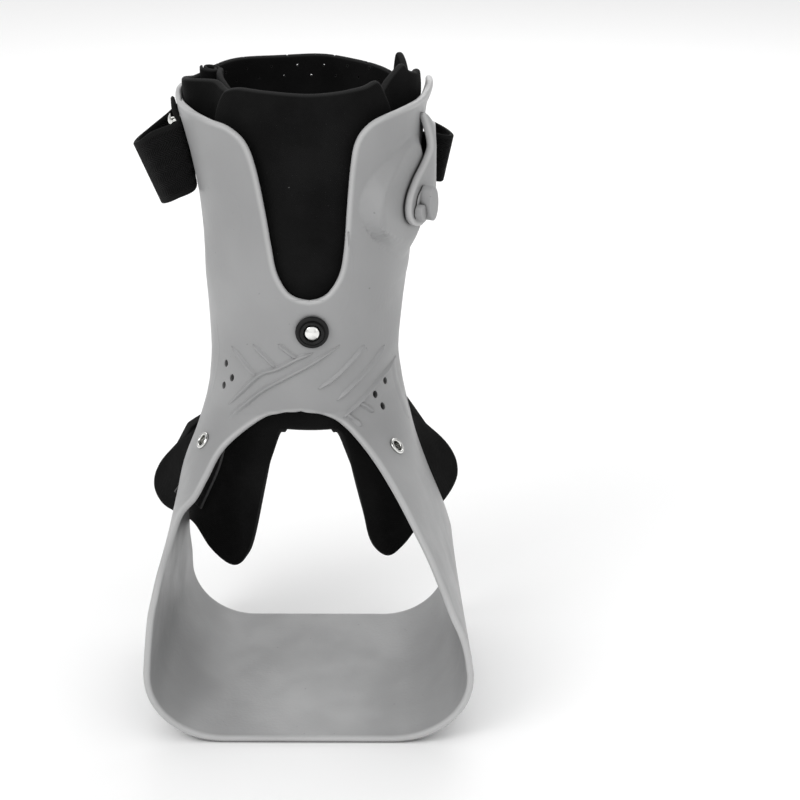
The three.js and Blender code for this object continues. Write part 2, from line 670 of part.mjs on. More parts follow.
// The lever: a plate that lies on the pad, then bends back along the side of the shell.
// Columns: height over the seat, front edge and rear edge along the plate, in lever radii.
const LEVER_EDGES = [
  [-1.00, -0.02, 0.02],
  [-0.87, -0.52, 0.52],
  [-0.63, -0.85, 1.08],
  [-0.43, -0.99, 2.60],
  [-0.12, -1.06, 3.90],
  [0.18, -1.02, 4.22],
  [0.43, -0.91, 4.27],
  [0.73, -0.67, 4.27],
  [1.10, -0.29, 4.27],
  [1.42, 0.16, 4.27],
  [1.72, 0.53, 4.27],
  [2.04, 0.82, 4.24],
  [2.32, 0.85, 4.05],
  [2.52, 0.83, 3.10],
  [2.80, 0.80, 1.90],
  [3.10, 0.76, 1.28],
  [3.45, 0.70, 0.96],
];
const BEND_START = 0.80;       // where the plate leaves the seat plane, in lever radii
const BEND_RADIUS = 1.30;
const BEND_TURN = 28 * Math.PI / 180;
const SLOT_AT = 3.62;          // middle of the slot along the plate, in lever radii
const SLOT_MID = 1.06;         // middle of the slot over the seat, in lever radii

function leverPoint(u, v, h) {
  const bend = Math.min(Math.max((u - BEND_START) / BEND_RADIUS, 0), BEND_TURN);
  const start = SEAT_TURN;
  const flat = Math.min(u, BEND_START);
  const rest = Math.max(u - BEND_START - BEND_RADIUS * BEND_TURN, 0);
  const along = (a) => vec(Math.cos(a), Math.sin(a), 0);
  const out = (a) => vec(Math.sin(a), -Math.cos(a), 0);
  const p = seat.origin.clone().addScaledVector(along(start), flat * LEVER_RADIUS);
  p.addScaledVector(out(start), -BEND_RADIUS * LEVER_RADIUS);
  p.addScaledVector(out(start + bend), BEND_RADIUS * LEVER_RADIUS);
  p.addScaledVector(along(start + bend), rest * LEVER_RADIUS);
  p.addScaledVector(up, v * LEVER_RADIUS);
  return p.addScaledVector(out(start + bend), h);
}

function buildLever() {
  const last = LEVER_EDGES.length - 1;
  const at = (i, j) => {
    const [v, front, rear] = smoothRow(LEVER_EDGES, i * last);
    return leverPoint(front + (rear - front) * j, v, 0);
  };
  let body = toManifold(thicken([patch(last, 9, at, true)], FIT, FIT + LEVER_PLATE));
  const r = SHANK_DIA / 2 + FIT;
  body = body.subtract(toManifold(turned(seat, [[r, -1], [r, 5]], 20)));
  const across = SLOT_WIDTH / LEVER_RADIUS / 2;
  const tall = SLOT_LENGTH / LEVER_RADIUS / 2;
  const ring = (h) => [[-1, -1], [1, -1], [1, 1], [-1, 1]]
    .map(([a, b]) => leverPoint(SLOT_AT + a * across, SLOT_MID + b * tall, h));
  body = body.subtract(toManifold(loft([ring(-2), ring(LEVER_PLATE + 2)])));
  return toGeometry(body);
}

// The path of the strap.
// Columns: x, y, z shares of its middle line, lean of its width to x and y, width share.
const STRAP_PATH = [
  [-0.905, 0.715, 0.864, -0.34, 0.00, 1.00],
  [-0.975, 0.745, 0.852, -0.40, 0.00, 0.96],
  [-1.025, 0.850, 0.843, -0.42, 0.00, 0.94],
  [-1.018, 1.000, 0.844, -0.42, 0.00, 0.94],
  [-0.970, 1.115, 0.852, -0.36, 0.02, 0.94],
  [-0.890, 1.250, 0.866, -0.24, 0.04, 0.96],
  [-0.790, 1.410, 0.884, -0.12, 0.06, 1.00],
  [-0.640, 1.590, 0.886, -0.06, 0.08, 1.00],
  [-0.360, 1.780, 0.886, -0.02, 0.08, 1.00],
  [0.000, 1.850, 0.886, 0.00, 0.08, 1.00],
  [0.350, 1.770, 0.880, 0.02, 0.08, 0.96],
  [0.570, 1.580, 0.872, 0.06, 0.08, 0.88],
];

// The strap where it passes the slot of the lever and its free end.
// Columns: place along the plate past the slot, out of the plate, height over the slot's middle,
// all in lever radii, then lean of its width to x and y, width share.
const STRAP_PASS = [
  [1.383, -0.547, -0.030, 0.10, 0.04, 0.78],
  [0.562, -0.443, -0.060, 0.08, 0.00, 0.70],
  [0.151, -0.233, -0.090, 0.06, 0.00, 0.68],
  [-0.002, 0.212, -0.110, 0.08, 0.00, 0.68],
  [-0.177, 0.566, -0.140, 0.14, 0.00, 0.68],
  [-0.060, 0.760, -0.170, 0.20, 0.00, 0.68],
  [0.360, 0.790, -0.180, 0.22, 0.00, 0.68],
  [1.055, 0.540, -0.150, 0.18, 0.02, 0.70],
  [1.712, 0.029, -0.110, 0.14, 0.04, 0.76],
];
const passRows = STRAP_PASS.map(([along, out, rise, ...rest]) => {
  const p = leverPoint(SLOT_AT + along, SLOT_MID + rise, out * LEVER_RADIUS);
  return [p.x / HALF_WIDTH, p.y / HALF_LENGTH, p.z / SHELL_HEIGHT, ...rest];
});

// The riveted end of the strap lies on the outside of the left wing: y and z shares.
const STRAP_SEAT = [[0.960, 0.912], [0.830, 0.898], [0.740, 0.882]];
const strapRows = STRAP_SEAT.map(([y, z]) => {
  const { p, n } = shellAt(LEFT_ROWS, [y * HALF_LENGTH, z * SHELL_HEIGHT], 'y');
  p.addScaledVector(n, SKIN + FIT + STRAP_WALL / 2 + 0.7);
  const wide = up.clone().addScaledVector(n, -n.z);
  return [p.x / HALF_WIDTH, p.y / HALF_LENGTH, p.z / SHELL_HEIGHT, wide.x / wide.z, wide.y / wide.z, 1];
}).concat(STRAP_PATH, passRows);

function strapPoint(i, j) {
  const [x, y, z, leanX, leanY, width] = smoothRow(strapRows, i * (strapRows.length - 1));
  const wide = vec(leanX, leanY, 1).normalize();
  return vec(x * HALF_WIDTH, y * HALF_LENGTH, z * SHELL_HEIGHT)
    .addScaledVector(wide, (j - 0.5) * width * STRAP_WIDTH);
}

function buildStrap() {
  const count = (strapRows.length - 1) * 2;
  let body = toManifold(thicken([patch(count, 1, strapPoint, true)], -STRAP_WALL / 2, STRAP_WALL / 2));
  const r = RIVET_DIA / 4 + FIT;
  body = body.subtract(toManifold(turned(rivetFrame, [[r, 0], [r, 8]], 16)));
  return toGeometry(body);
}

function buildButton() {
  const cap = FIT + LEVER_PLATE + FIT;
  const r = SHANK_DIA / 2;
  const R = BUTTON_DIA / 2;
  return turned(seat, [
    [r, -BOSS_HEIGHT - 0.8], [r, cap], [R, cap],
    [R, cap + BUTTON_HEIGHT - 0.5], [R - 0.5, cap + BUTTON_HEIGHT],
  ], 24);
}

function buildCollar() {
  const R = COLLAR_DIA / 2;
  const lip = COLLAR_LIP_DIA / 2;
  const bore = CORE_DIA / 2 + FIT;
  const face = SKIN + FIT;
  const outer = turned(valve, [
    [lip, -SKIN - 0.5], [lip, face], [R, face], [R, face + 0.9], [R - 0.7, face + 1.6],
    [lip + 0.4, face + 1.6], [lip, face + 2.3],
  ], 20);
  const inner = turned(valve, [[bore, -5], [bore, 8]], 12);
  return toGeometry(toManifold(outer).subtract(toManifold(inner)));
}

function buildCore() {
  const r = CORE_DIA / 2;
  const face = SKIN + FIT;
  return turned(valve, [[r, -SKIN - 0.5], [r, face + 1.2], [r * 0.8, face + 2.0], [r * 0.45, face + 2.4]], 14);
}

function buildEyelet(frame) {
  const R = EYELET_DIA / 2;
  const r = EYELET_BORE / 2 + 0.7;
  const face = SKIN + FIT;
  const spool = turned(frame, [
    [R, -face - 0.5], [R, -face], [r, -face], [r, face], [R, face], [R, face + 0.3], [R - 0.6, face + 0.8],
  ], 12);
  const hole = turned(frame, [[EYELET_BORE / 2, -4], [EYELET_BORE / 2, 4]], 10);
  return toGeometry(toManifold(spool).subtract(toManifold(hole)));
}

function buildRivet() {
  const R = RIVET_DIA / 2;
  const r = R / 2;
  const face = SKIN + FIT;
  const top = face + STRAP_WALL + 2 * FIT + 0.7;
  return turned(rivetFrame, [
    [R * 0.9, -face - 0.6], [R * 0.9, -face], [r, -face], [r, top], [R, top], [R, top + 0.6], [R * 0.7, top + 1.1],
  ], 12);
}

// The hook patch lies on the outside of the left lobe.
const PATCH_FROM = 7.8;        // first liner column under the patch
const PATCH_COLUMNS = 2.0;     // columns that it spans
const PATCH_END = 0.82;        // its lower edge, as a share of the lobe's run
const PATCH_RUN = 0.74;        // how much of the run it covers
function buildPatch() {
  const at = (i, j) => lobePoint(LINER_LEFT, PATCH_FROM + PATCH_COLUMNS * j, PATCH_END - PATCH_RUN * i);
  const low = LINER_WALL / 2 + FIT;
  return thicken([patch(5, 5, at, false)], low, low + PATCH_WALL);
}

const looks = {
  shell: { color: 0x9c9c9c, roughness: 0.5, metalness: 0 },
  rubber: { color: 0x1b1b1c, roughness: 0.55, metalness: 0 },
  metal: { color: 0xc9c9c6, roughness: 0.25, metalness: 1 },
  cloth: { color: 0x17171a, roughness: 0.9, metalness: 0 },
  webbing: { color: 0x1c1c1e, roughness: 0.85, metalness: 0 },
  hook: { color: 0x222225, roughness: 0.95, metalness: 0 },
};

function piece(name, geometry, look) {
  const plain = geometry.index ? geometry.toNonIndexed() : geometry;
  plain.computeVertexNormals();
  const mesh = new THREE.Mesh(plain, new THREE.MeshStandardMaterial(looks[look]));
  mesh.name = name;
  return mesh;
}

const brace = new THREE.Group();
brace.name = 'foot_drop_brace';
brace.add(piece('frame_shell', buildShell(), 'shell'));
brace.add(piece('valve_collar', buildCollar(), 'rubber'));
brace.add(piece('valve_core', buildCore(), 'metal'));
brace.add(piece('eyelet_left', buildEyelet(eyeletLeft), 'metal'));
brace.add(piece('eyelet_right', buildEyelet(eyeletRight), 'metal'));
brace.add(piece('strap_rivet', buildRivet(), 'metal'));
brace.add(piece('strap_lever', buildLever(), 'shell'));
brace.add(piece('lever_button', buildButton(), 'shell'));
brace.add(piece('strap', buildStrap(), 'webbing'));
brace.add(piece('liner', buildLiner(), 'cloth'));
brace.add(piece('liner_back_band', buildBand(), 'cloth'));
brace.add(piece('hook_patch', buildPatch(), 'hook'));

export default brace;
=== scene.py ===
# %% [markdown]
# # A foot drop brace, made surface by surface
# The real brace is one grey moulded shell that stands on its own sole. A black
# foam liner wraps the shin inside it, a perforated band closes the liner behind
# the leg, and a webbing strap runs from a rivet on the left, round the back, to a
# swivelling lever on the right. Every shape below is a function of two numbers,
# worked out with whole numpy arrays, so the lesson can be read formula by formula.
#
# The first step loads the engineering model. It is the frame that each new piece
# has to fit.

# %% Load the engineering frame
import bpy
import numpy as np
from mathutils import Matrix, Vector


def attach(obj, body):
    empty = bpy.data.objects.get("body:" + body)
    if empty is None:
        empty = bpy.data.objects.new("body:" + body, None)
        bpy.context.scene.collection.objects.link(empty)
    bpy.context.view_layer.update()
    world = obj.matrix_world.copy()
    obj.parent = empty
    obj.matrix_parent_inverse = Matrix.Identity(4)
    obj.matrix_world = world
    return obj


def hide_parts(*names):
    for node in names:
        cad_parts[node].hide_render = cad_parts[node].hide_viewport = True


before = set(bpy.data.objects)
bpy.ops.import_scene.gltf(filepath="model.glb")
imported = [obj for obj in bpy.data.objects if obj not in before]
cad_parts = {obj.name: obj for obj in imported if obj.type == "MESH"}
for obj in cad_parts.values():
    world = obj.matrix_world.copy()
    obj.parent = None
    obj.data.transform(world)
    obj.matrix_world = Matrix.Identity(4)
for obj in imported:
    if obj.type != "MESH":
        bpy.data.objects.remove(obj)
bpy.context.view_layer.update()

# %% [markdown]
# ## The camera
# The picture looks down by about twenty degrees and from a little to the right.
# A lens is only a ratio: sensor width over focal length. The focal length was
# found by matching known points of the sole, and the camera has no roll, so its
# rotation follows from the direction it looks in and the world's up axis.

# %% Place the camera
SENSOR = 36                # width of the sensor in mm
FOCAL_PIXELS = 2029        # focal length in pixels of the picture
PICTURE_PIXELS = 800

eye = Vector((0.034426, -0.646883, 0.359414))
gaze = Vector((-0.004908, 0.931836, -0.362846))
lens_data = bpy.data.cameras.new("camera")
lens_data.sensor_fit = "HORIZONTAL"
lens_data.sensor_width = SENSOR
lens_data.lens = SENSOR * FOCAL_PIXELS / PICTURE_PIXELS
camera = bpy.data.objects.new("camera", lens_data)
bpy.context.collection.objects.link(camera)
right = gaze.cross(Vector((0, 0, 1))).normalized()
above = right.cross(gaze)
turn = Matrix((right, above, -gaze)).transposed().to_4x4()
camera.matrix_world = Matrix.Translation(eye) @ turn
bpy.context.scene.camera = camera
print("camera lens:", round(lens_data.lens, 1), "mm")

# %% [markdown]
# ## The floor and a dark card
# A product picture uses large, soft sources, so shadows melt away and the satin
# plastic shows broad, slow gradients. Two flat sheets make the set: a pale floor,
# and a dark card overhead that only reflections see, which puts darker bands on
# the rounded plastic.

# %% Lay the floor and hang the card
def plain_sheet(name, finish, corners, tone, roughness):
    """A flat sheet with four corners and one grey finish."""
    mesh = bpy.data.meshes.new(name)
    mesh.from_pydata(corners, [], [(0, 1, 2, 3)])
    thing = bpy.data.objects.new(name, mesh)
    bpy.context.collection.objects.link(thing)
    look = bpy.data.materials.new(finish)
    look.use_nodes = True
    shader = look.node_tree.nodes["Principled BSDF"]
    shader.inputs["Base Color"].default_value = (tone, tone, tone, 1)
    shader.inputs["Roughness"].default_value = roughness
    mesh.materials.append(look)
    return thing


floor = plain_sheet("floor", "pale_floor", [(-6, -6, 0), (6, -6, 0), (6, 6, 0), (-6, 6, 0)], 0.97, 0.9)
card_corners = [(-0.9, 0.1, 1.7), (0.9, 0.1, 1.7), (0.9, -1.1, 1.4), (-0.9, -1.1, 1.4)]
card = plain_sheet("dark_card", "black_card", card_corners, 0.01, 1.0)
card.visible_camera = card.visible_diffuse = card.visible_shadow = False
print("sheets:", floor.name, card.name)

# %% [markdown]
# ## A world that dims to the sides
# To the camera the world is one even, nearly white backdrop. To every other ray it
# dims towards the left and the right: the sideways share of the ray's direction is
# mapped to a strength. Round forms get darker flanks, and the backdrop stays clean.

# %% Build the world
BACKDROP, FLANK = 0.98, 0.42     # strength ahead and far to the side

world = bpy.data.worlds.new("studio")
world.use_nodes = True
tree = world.node_tree
background = tree.nodes["Background"]
background.inputs["Color"].default_value = (1, 1, 1, 1)
heading = tree.nodes.new("ShaderNodeSeparateXYZ")
tree.links.new(tree.nodes.new("ShaderNodeTexCoord").outputs["Generated"], heading.inputs[0])
sideways = tree.nodes.new("ShaderNodeMath")
sideways.operation = "ABSOLUTE"
tree.links.new(heading.outputs["X"], sideways.inputs[0])
falloff = tree.nodes.new("ShaderNodeMapRange")
for key, value in {"From Min": 0.35, "From Max": 0.95, "To Min": BACKDROP, "To Max": FLANK}.items():
    falloff.inputs[key].default_value = value
tree.links.new(sideways.outputs[0], falloff.inputs["Value"])
direct = tree.nodes.new("ShaderNodeMix")
direct.inputs[3].default_value = BACKDROP
tree.links.new(tree.nodes.new("ShaderNodeLightPath").outputs["Is Camera Ray"], direct.inputs[0])
tree.links.new(falloff.outputs[0], direct.inputs[2])
tree.links.new(direct.outputs[0], background.inputs["Strength"])
bpy.context.scene.world = world
bpy.context.scene.view_settings.view_transform = "Standard"
print("world:", world.name)

# %% [markdown]
# ## Three soft lamps
# A wide key stands at the upper left and a lower fill at the right. A lamp behind
# the brace draws a light line along the rims.

# %% Hang the lamps
def lamp(name, place, target, size, power):
    """A square area lamp at place, turned so that it faces target."""
    data = bpy.data.lights.new(name, "AREA")
    data.size = size
    data.energy = power
    thing = bpy.data.objects.new(name, data)
    thing.location = place
    aim = Vector(target) - Vector(place)
    thing.rotation_euler = aim.to_track_quat("-Z", "Y").to_euler()
    bpy.context.collection.objects.link(thing)


lamp("key", (-0.75, -0.75, 0.95), (0, 0, 0.12), 0.7, 5)
lamp("fill", (0.9, -0.6, 0.5), (0, 0, 0.12), 0.8, 1.2)
lamp("back", (0.1, 0.9, 0.8), (0, 0, 0.15), 0.8, 3)
print("studio ready")

# %% [markdown]
# ## From arrays to meshes
# A few small helpers carry the whole lesson. One turns arrays of points and faces
# into a mesh in one go. One welds grids that share an edge. One gives a surface its
# wall: it moves one skin outward and one inward along the normals, and rounds the
# rim with a quarter circle, using each point's distance to the nearest free edge.
# The last two join bodies into one and hand a finished piece over to the frame.

# %% Array helpers
MM = 0.001


def make_mesh(name, points, faces, uv=None, marks=None):
    """Points (n, 3) in millimetres and triangles (m, 3) become one smooth-shaded mesh object."""
    mesh = bpy.data.meshes.new(name)
    mesh.vertices.add(len(points))
    mesh.vertices.foreach_set("co", (np.asarray(points, float) * MM).astype(np.float32).ravel())
    mesh.loops.add(faces.size)
    mesh.loops.foreach_set("vertex_index", faces.astype(np.int32).ravel())
    mesh.polygons.add(len(faces))
    mesh.polygons.foreach_set("loop_start", np.arange(0, faces.size, 3, dtype=np.int32))
    if uv is not None:
        layer = mesh.uv_layers.new(name="UVMap")
        layer.uv.foreach_set("vector", uv[faces.ravel()].astype(np.float32).ravel())
    for mark, values in (marks or {}).items():
        mesh.attributes.new(mark, "FLOAT", "POINT").data.foreach_set("value", values.astype(np.float32))
    mesh.update(calc_edges=True)
    mesh.validate()
    mesh.polygons.foreach_set("use_smooth", np.ones(len(mesh.polygons), bool))
    thing = bpy.data.objects.new(name, mesh)
    bpy.context.collection.objects.link(thing)
    return thing


def grid_faces(rows, cols, flip=False):
    """Two triangles for each cell of a rows by cols grid of points."""
    a = (np.arange(rows - 1)[:, None] * cols + np.arange(cols - 1)).ravel()
    faces = np.concatenate([np.stack([a, a + cols, a + cols + 1], 1), np.stack([a, a + cols + 1, a + 1], 1)])
    return faces[:, ::-1] if flip else faces


def weld(grids, flips, step=1e-3):
    """Joins grids (rows, cols, k): points closer than step become one, cells that collapse are dropped."""
    points = np.concatenate([g.reshape(-1, g.shape[-1]) for g in grids])
    starts = np.cumsum([0] + [g.shape[0] * g.shape[1] for g in grids])
    faces = np.concatenate([grid_faces(*g.shape[:2], f) + s for g, f, s in zip(grids, flips, starts)])
    _, first, back = np.unique(np.round(points[:, :3] / step).astype(np.int64), axis=0,
                               return_index=True, return_inverse=True)
    faces = back.reshape(-1)[faces]
    whole = (faces[:, 0] != faces[:, 1]) & (faces[:, 1] != faces[:, 2]) & (faces[:, 0] != faces[:, 2])
    return points[first], faces[whole]


def normals_of(points, faces):
    """The normal of a point is the sum of the cross products of its triangles, at length one."""
    p = points[faces]
    n = np.cross(p[:, 1] - p[:, 0], p[:, 2] - p[:, 0])
    total = np.zeros((len(points), 3))
    np.add.at(total, faces.ravel(), np.repeat(n, 3, axis=0))
    return total / np.maximum(np.linalg.norm(total, axis=1), 1e-12)[:, None]


def rims_of(faces):
    """The directed edges that only one triangle uses."""
    e = np.concatenate([faces[:, [0, 1]], faces[:, [1, 2]], faces[:, [2, 0]]])
    _, back, count = np.unique(np.sort(e, axis=1), axis=0, return_inverse=True, return_counts=True)
    return e[count[back.reshape(-1)] == 1]


def rim_distance(points, a, b):
    """Distance from each point to the nearest of the segments a to b, in blocks to save memory."""
    out = np.empty(len(points))
    run = b - a
    length = np.maximum((run ** 2).sum(-1), 1e-12)
    for s in range(0, len(points), 1500):
        p = points[s:s + 1500, None] - a
        t = np.clip((p * run).sum(-1) / length, 0, 1)[..., None]
        out[s:s + 1500] = np.sqrt(((p - run * t) ** 2).sum(-1).min(1))
    return out


def walls(points, faces, low, high, radius, lift=None):
    """A surface becomes a closed wall from low to high along its normals.
    Within radius of a free edge both skins follow a quarter circle, so the rim is rounded."""
    n = normals_of(points[:, :3], faces)
    rim = rims_of(faces)
    d = rim_distance(points[:, :3], points[rim[:, 0], :3], points[rim[:, 1], :3])
    s = 1 - np.clip(d / radius, 0, 1)
    drop = radius * (1 - np.sqrt(1 - s ** 2))
    extra = 0 if lift is None else lift(points[:, :3], n)
    top = points[:, :3] + n * (high - drop + extra)[:, None]
    bottom = points[:, :3] + n * (low + drop)[:, None]
    count = len(points)
    band = np.concatenate([np.stack([rim[:, 1], rim[:, 0], rim[:, 0] + count], 1),
                           np.stack([rim[:, 1], rim[:, 0] + count, rim[:, 1] + count], 1)])
    every = np.concatenate([faces, faces[:, ::-1] + count, band])
    return np.concatenate([top, bottom]), every, np.concatenate([d, d])


def merge(bodies):
    """Several closed bodies as one array of points and one of faces."""
    starts = np.cumsum([0] + [len(p) for p, _ in bodies])
    points = np.concatenate([p for p, _ in bodies])
    return points, np.concatenate([f + s for (_, f), s in zip(bodies, starts)])


def finish_piece(name, body, node, sharp=None, rim=3.0, uv=None):
    """A body becomes a piece that rides on the root and stands for its node, which it hides."""
    thing = make_mesh(name, *body, uv, {"rim": np.broadcast_to(rim, len(body[0])).astype(float)})
    if sharp:
        thing.data.set_sharp_from_angle(angle=np.radians(sharp))
    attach(thing, "root")
    if node:
        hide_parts(node)
    return thing


print("helpers ready")

# %% [markdown]
# ## The shell as a stack of bent rows
# The moulded shell is one sheet of plastic. Each row of the table below is a
# curve from the front edge of the sheet to its rear edge, bent round a corner
# point. The sole is a flat strip, the side walls rise from it, meet in the arched
# bridge, and part again into two wings round the notch. Between rows everything
# glides on a Catmull-Rom curve, which passes through its points and needs no
# hand-set tangents.

# %% The shell's named sizes and its rows
HALF_WIDTH, HALF_LENGTH, HEIGHT = 55.0, 46.0, 210.0
WALL = 2.4
APEX_ROW, NOTCH_ROW = 12, 15
SCALE = np.array([HALF_WIDTH, HALF_LENGTH, HEIGHT])

# Columns: front x, y, z; rear x, y, z; corner x, y; share cut off at the front.
LEFT_ROWS = np.array([
    [-0.982, -1.000, 0.124, -0.882, 1.000, 0.121, -0.932, 0.000, 0],
    [-0.967, -1.000, 0.167, -0.880, 0.967, 0.148, -0.924, -0.016, 0],
    [-0.942, -0.989, 0.221, -0.884, 0.913, 0.181, -0.916, -0.035, 0],
    [-0.916, -0.957, 0.252, -0.880, 0.859, 0.210, -0.909, -0.045, 0],
    [-0.882, -0.859, 0.288, -0.873, 0.804, 0.238, -0.898, 0.000, 0],
    [-0.845, -0.674, 0.314, -0.869, 0.761, 0.267, -0.895, 0.080, 0],
    [-0.800, -0.370, 0.340, -0.862, 0.728, 0.298, -0.887, 0.170, 0],
    [-0.713, -0.207, 0.357, -0.847, 0.707, 0.329, -0.880, 0.170, 0],
    [-0.040, -0.480, 0.403, -0.811, 0.702, 0.362, -0.890, -0.480, 0.540],
    [-0.045, -0.160, 0.436, -0.745, 0.717, 0.405, -0.810, -0.160, 0.470],
    [-0.055, 0.026, 0.474, -0.684, 0.739, 0.455, -0.735, 0.026, 0.250],
    [-0.055, 0.043, 0.485, -0.662, 0.761, 0.481, -0.705, 0.043, 0.110],
    [-0.055, 0.043, 0.489, -0.649, 0.772, 0.502, -0.695, 0.043, 0],
    [-0.036, 0.043, 0.548, -0.633, 0.783, 0.552, -0.680, 0.043, 0],
    [-0.018, 0.039, 0.619, -0.640, 0.804, 0.621, -0.690, 0.039, 0],
    [0.009, 0.035, 0.680, -0.655, 0.826, 0.681, -0.709, 0.035, 0],
    [0.009, 0.035, 0.683, -0.656, 0.831, 0.690, -0.711, 0.035, 0.060],
    [0.009, 0.034, 0.694, -0.657, 0.837, 0.702, -0.713, 0.034, 0.120],
    [0.009, 0.032, 0.724, -0.658, 0.848, 0.729, -0.716, 0.032, 0.175],
    [0.009, 0.030, 0.767, -0.664, 0.870, 0.767, -0.726, 0.030, 0.200],
    [0.009, 0.028, 0.829, -0.684, 0.891, 0.824, -0.755, 0.028, 0.225],
    [0.009, 0.024, 0.895, -0.727, 0.935, 0.883, -0.811, 0.024, 0.250],
    [0.009, 0.022, 0.937, -0.760, 0.967, 0.916, -0.850, 0.022, 0.283],
    [0.009, 0.020, 0.960, -0.785, 1.000, 0.938, -0.880, 0.020, 0.347],
    [0.009, 0.018, 0.972, -0.800, 1.022, 0.952, -0.900, 0.018, 0.465],
    [0.009, 0.018, 0.975, -0.812, 1.043, 0.967, -0.915, 0.018, 0.700],
    [0.009, 0.018, 0.980, -0.815, 1.055, 0.974, -0.922, 0.018, 0.830],
    [0.009, 0.018, 0.988, -0.810, 1.050, 0.984, -0.920, 0.018, 0.920],
])
RIGHT_ROWS = np.array([
    [1.000, -1.000, 0.124, 0.891, 1.000, 0.121, 0.945, 0.000, 0],
    [0.978, -1.000, 0.164, 0.895, 0.967, 0.148, 0.936, -0.016, 0],
    [0.944, -1.000, 0.195, 0.891, 0.920, 0.174, 0.920, -0.035, 0],
    [0.889, -0.967, 0.226, 0.884, 0.880, 0.198, 0.895, -0.043, 0],
    [0.829, -0.902, 0.264, 0.865, 0.837, 0.221, 0.865, 0.000, 0],
    [0.755, -0.783, 0.303, 0.836, 0.804, 0.248, 0.840, 0.090, 0],
    [0.658, -0.609, 0.341, 0.793, 0.783, 0.279, 0.804, 0.170, 0],
    [0.547, -0.391, 0.379, 0.742, 0.761, 0.314, 0.764, 0.170, 0],
    [-0.040, -0.390, 0.452, 0.684, 0.752, 0.357, 0.727, -0.390, 0.420],
    [-0.055, -0.098, 0.459, 0.633, 0.752, 0.400, 0.684, -0.098, 0.325],
    [-0.055, 0.022, 0.470, 0.593, 0.761, 0.443, 0.640, 0.022, 0.232],
    [-0.055, 0.043, 0.481, 0.567, 0.767, 0.474, 0.611, 0.043, 0.133],
    [-0.055, 0.043, 0.489, 0.549, 0.772, 0.500, 0.589, 0.043, 0],
    [-0.036, 0.043, 0.548, 0.527, 0.783, 0.550, 0.571, 0.043, 0],
    [-0.018, 0.039, 0.619, 0.549, 0.804, 0.621, 0.596, 0.039, 0],
    [0.009, 0.035, 0.680, 0.578, 0.826, 0.681, 0.629, 0.035, 0],
    [0.009, 0.035, 0.683, 0.585, 0.831, 0.690, 0.636, 0.035, 0.062],
    [0.009, 0.034, 0.694, 0.593, 0.837, 0.702, 0.644, 0.034, 0.124],
    [0.009, 0.032, 0.722, 0.604, 0.848, 0.729, 0.658, 0.032, 0.185],
    [0.009, 0.030, 0.765, 0.618, 0.870, 0.767, 0.675, 0.030, 0.210],
    [0.009, 0.028, 0.829, 0.646, 0.891, 0.824, 0.700, 0.028, 0.220],
    [0.009, 0.024, 0.900, 0.669, 0.935, 0.886, 0.727, 0.024, 0.235],
    [0.009, 0.022, 0.940, 0.684, 0.967, 0.919, 0.745, 0.022, 0.257],
    [0.009, 0.020, 0.966, 0.695, 1.000, 0.943, 0.764, 0.020, 0.315],
    [0.009, 0.018, 0.982, 0.705, 1.022, 0.960, 0.782, 0.018, 0.425],
    [0.009, 0.018, 0.986, 0.725, 1.043, 0.974, 0.812, 0.018, 0.620],
    [0.009, 0.018, 0.992, 0.738, 1.060, 0.986, 0.832, 0.018, 0.790],
    [0.009, 0.018, 1.002, 0.738, 1.052, 0.997, 0.834, 0.018, 0.900],
])
print("shell rows:", LEFT_ROWS.shape, RIGHT_ROWS.shape)

# %% [markdown]
# ## Reading the table between its rows
# A row of the table holds three points. They turn into the four control points of
# a cubic Bezier curve with the pull 0.5523 that makes a quarter bend look round.
# Where the arch or the notch trims a row, de Casteljau's rule cuts the curve and
# keeps the rest, so the edge of the opening lies exactly on the same surface.

# %% Rows as curves
PULL = 0.5523              # share of the way to the corner that makes a quarter bend round


def row_curves(table):
    """(rows, 9) table to (rows, 4, 3) control points in millimetres, trimmed at the front.
    Each cut point is a straight mix of two neighbours, three times over."""
    f, r, cut = table[:, 0:3], table[:, 3:6], table[:, 8:9]
    k = np.column_stack([table[:, 6:8], (f[:, 2] + r[:, 2]) / 2])
    p = [f, f + PULL * (k - f), r + PULL * (k - r), r]
    q = [a + (b - a) * cut for a, b in zip(p[:-1], p[1:])]
    w = [a + (b - a) * cut for a, b in zip(q[:-1], q[1:])]
    start = w[0] + (w[1] - w[0]) * cut
    return np.stack([start, w[1], q[2], p[3]], 1) * SCALE


def through(values, at, breaks=()):
    """Catmull-Rom: the slope at a row is half the step from the row before to the row after.
    At an end or a break the missing neighbour is mirrored, which lets the curve turn a corner."""
    i = np.minimum(at.astype(int), len(values) - 2)
    f = (at - i).reshape((-1,) + (1,) * (values.ndim - 1))
    b, c = values[i], values[i + 1]
    first = np.isin(i, (0, *breaks)).reshape(f.shape)
    last = np.isin(i + 1, (len(values) - 1, *breaks)).reshape(f.shape)
    a = np.where(first, 2 * b - c, values[np.maximum(i - 1, 0)])
    d = np.where(last, 2 * c - b, values[np.minimum(i + 2, len(values) - 1)])
    return b + 0.5 * f * (c - a + f * (2 * a - 5 * b + 4 * c - d + f * (3 * (b - c) + d - a)))


def side_curves(table, at):
    """The rows read at `at`: the rear ends run smoothly, the rest turns at the arch and the notch."""
    curves = row_curves(table)
    front = through(curves[:, :3], at, (APEX_ROW, NOTCH_ROW))
    return np.concatenate([front, through(curves[:, 3:], at)], 1)


# Half widths of the sole's flat part in front and behind, and the height of its rounded corner.
FLAT_FRONT, FLAT_REAR, CORNER_RISE = 0.51, 0.44, 0.115


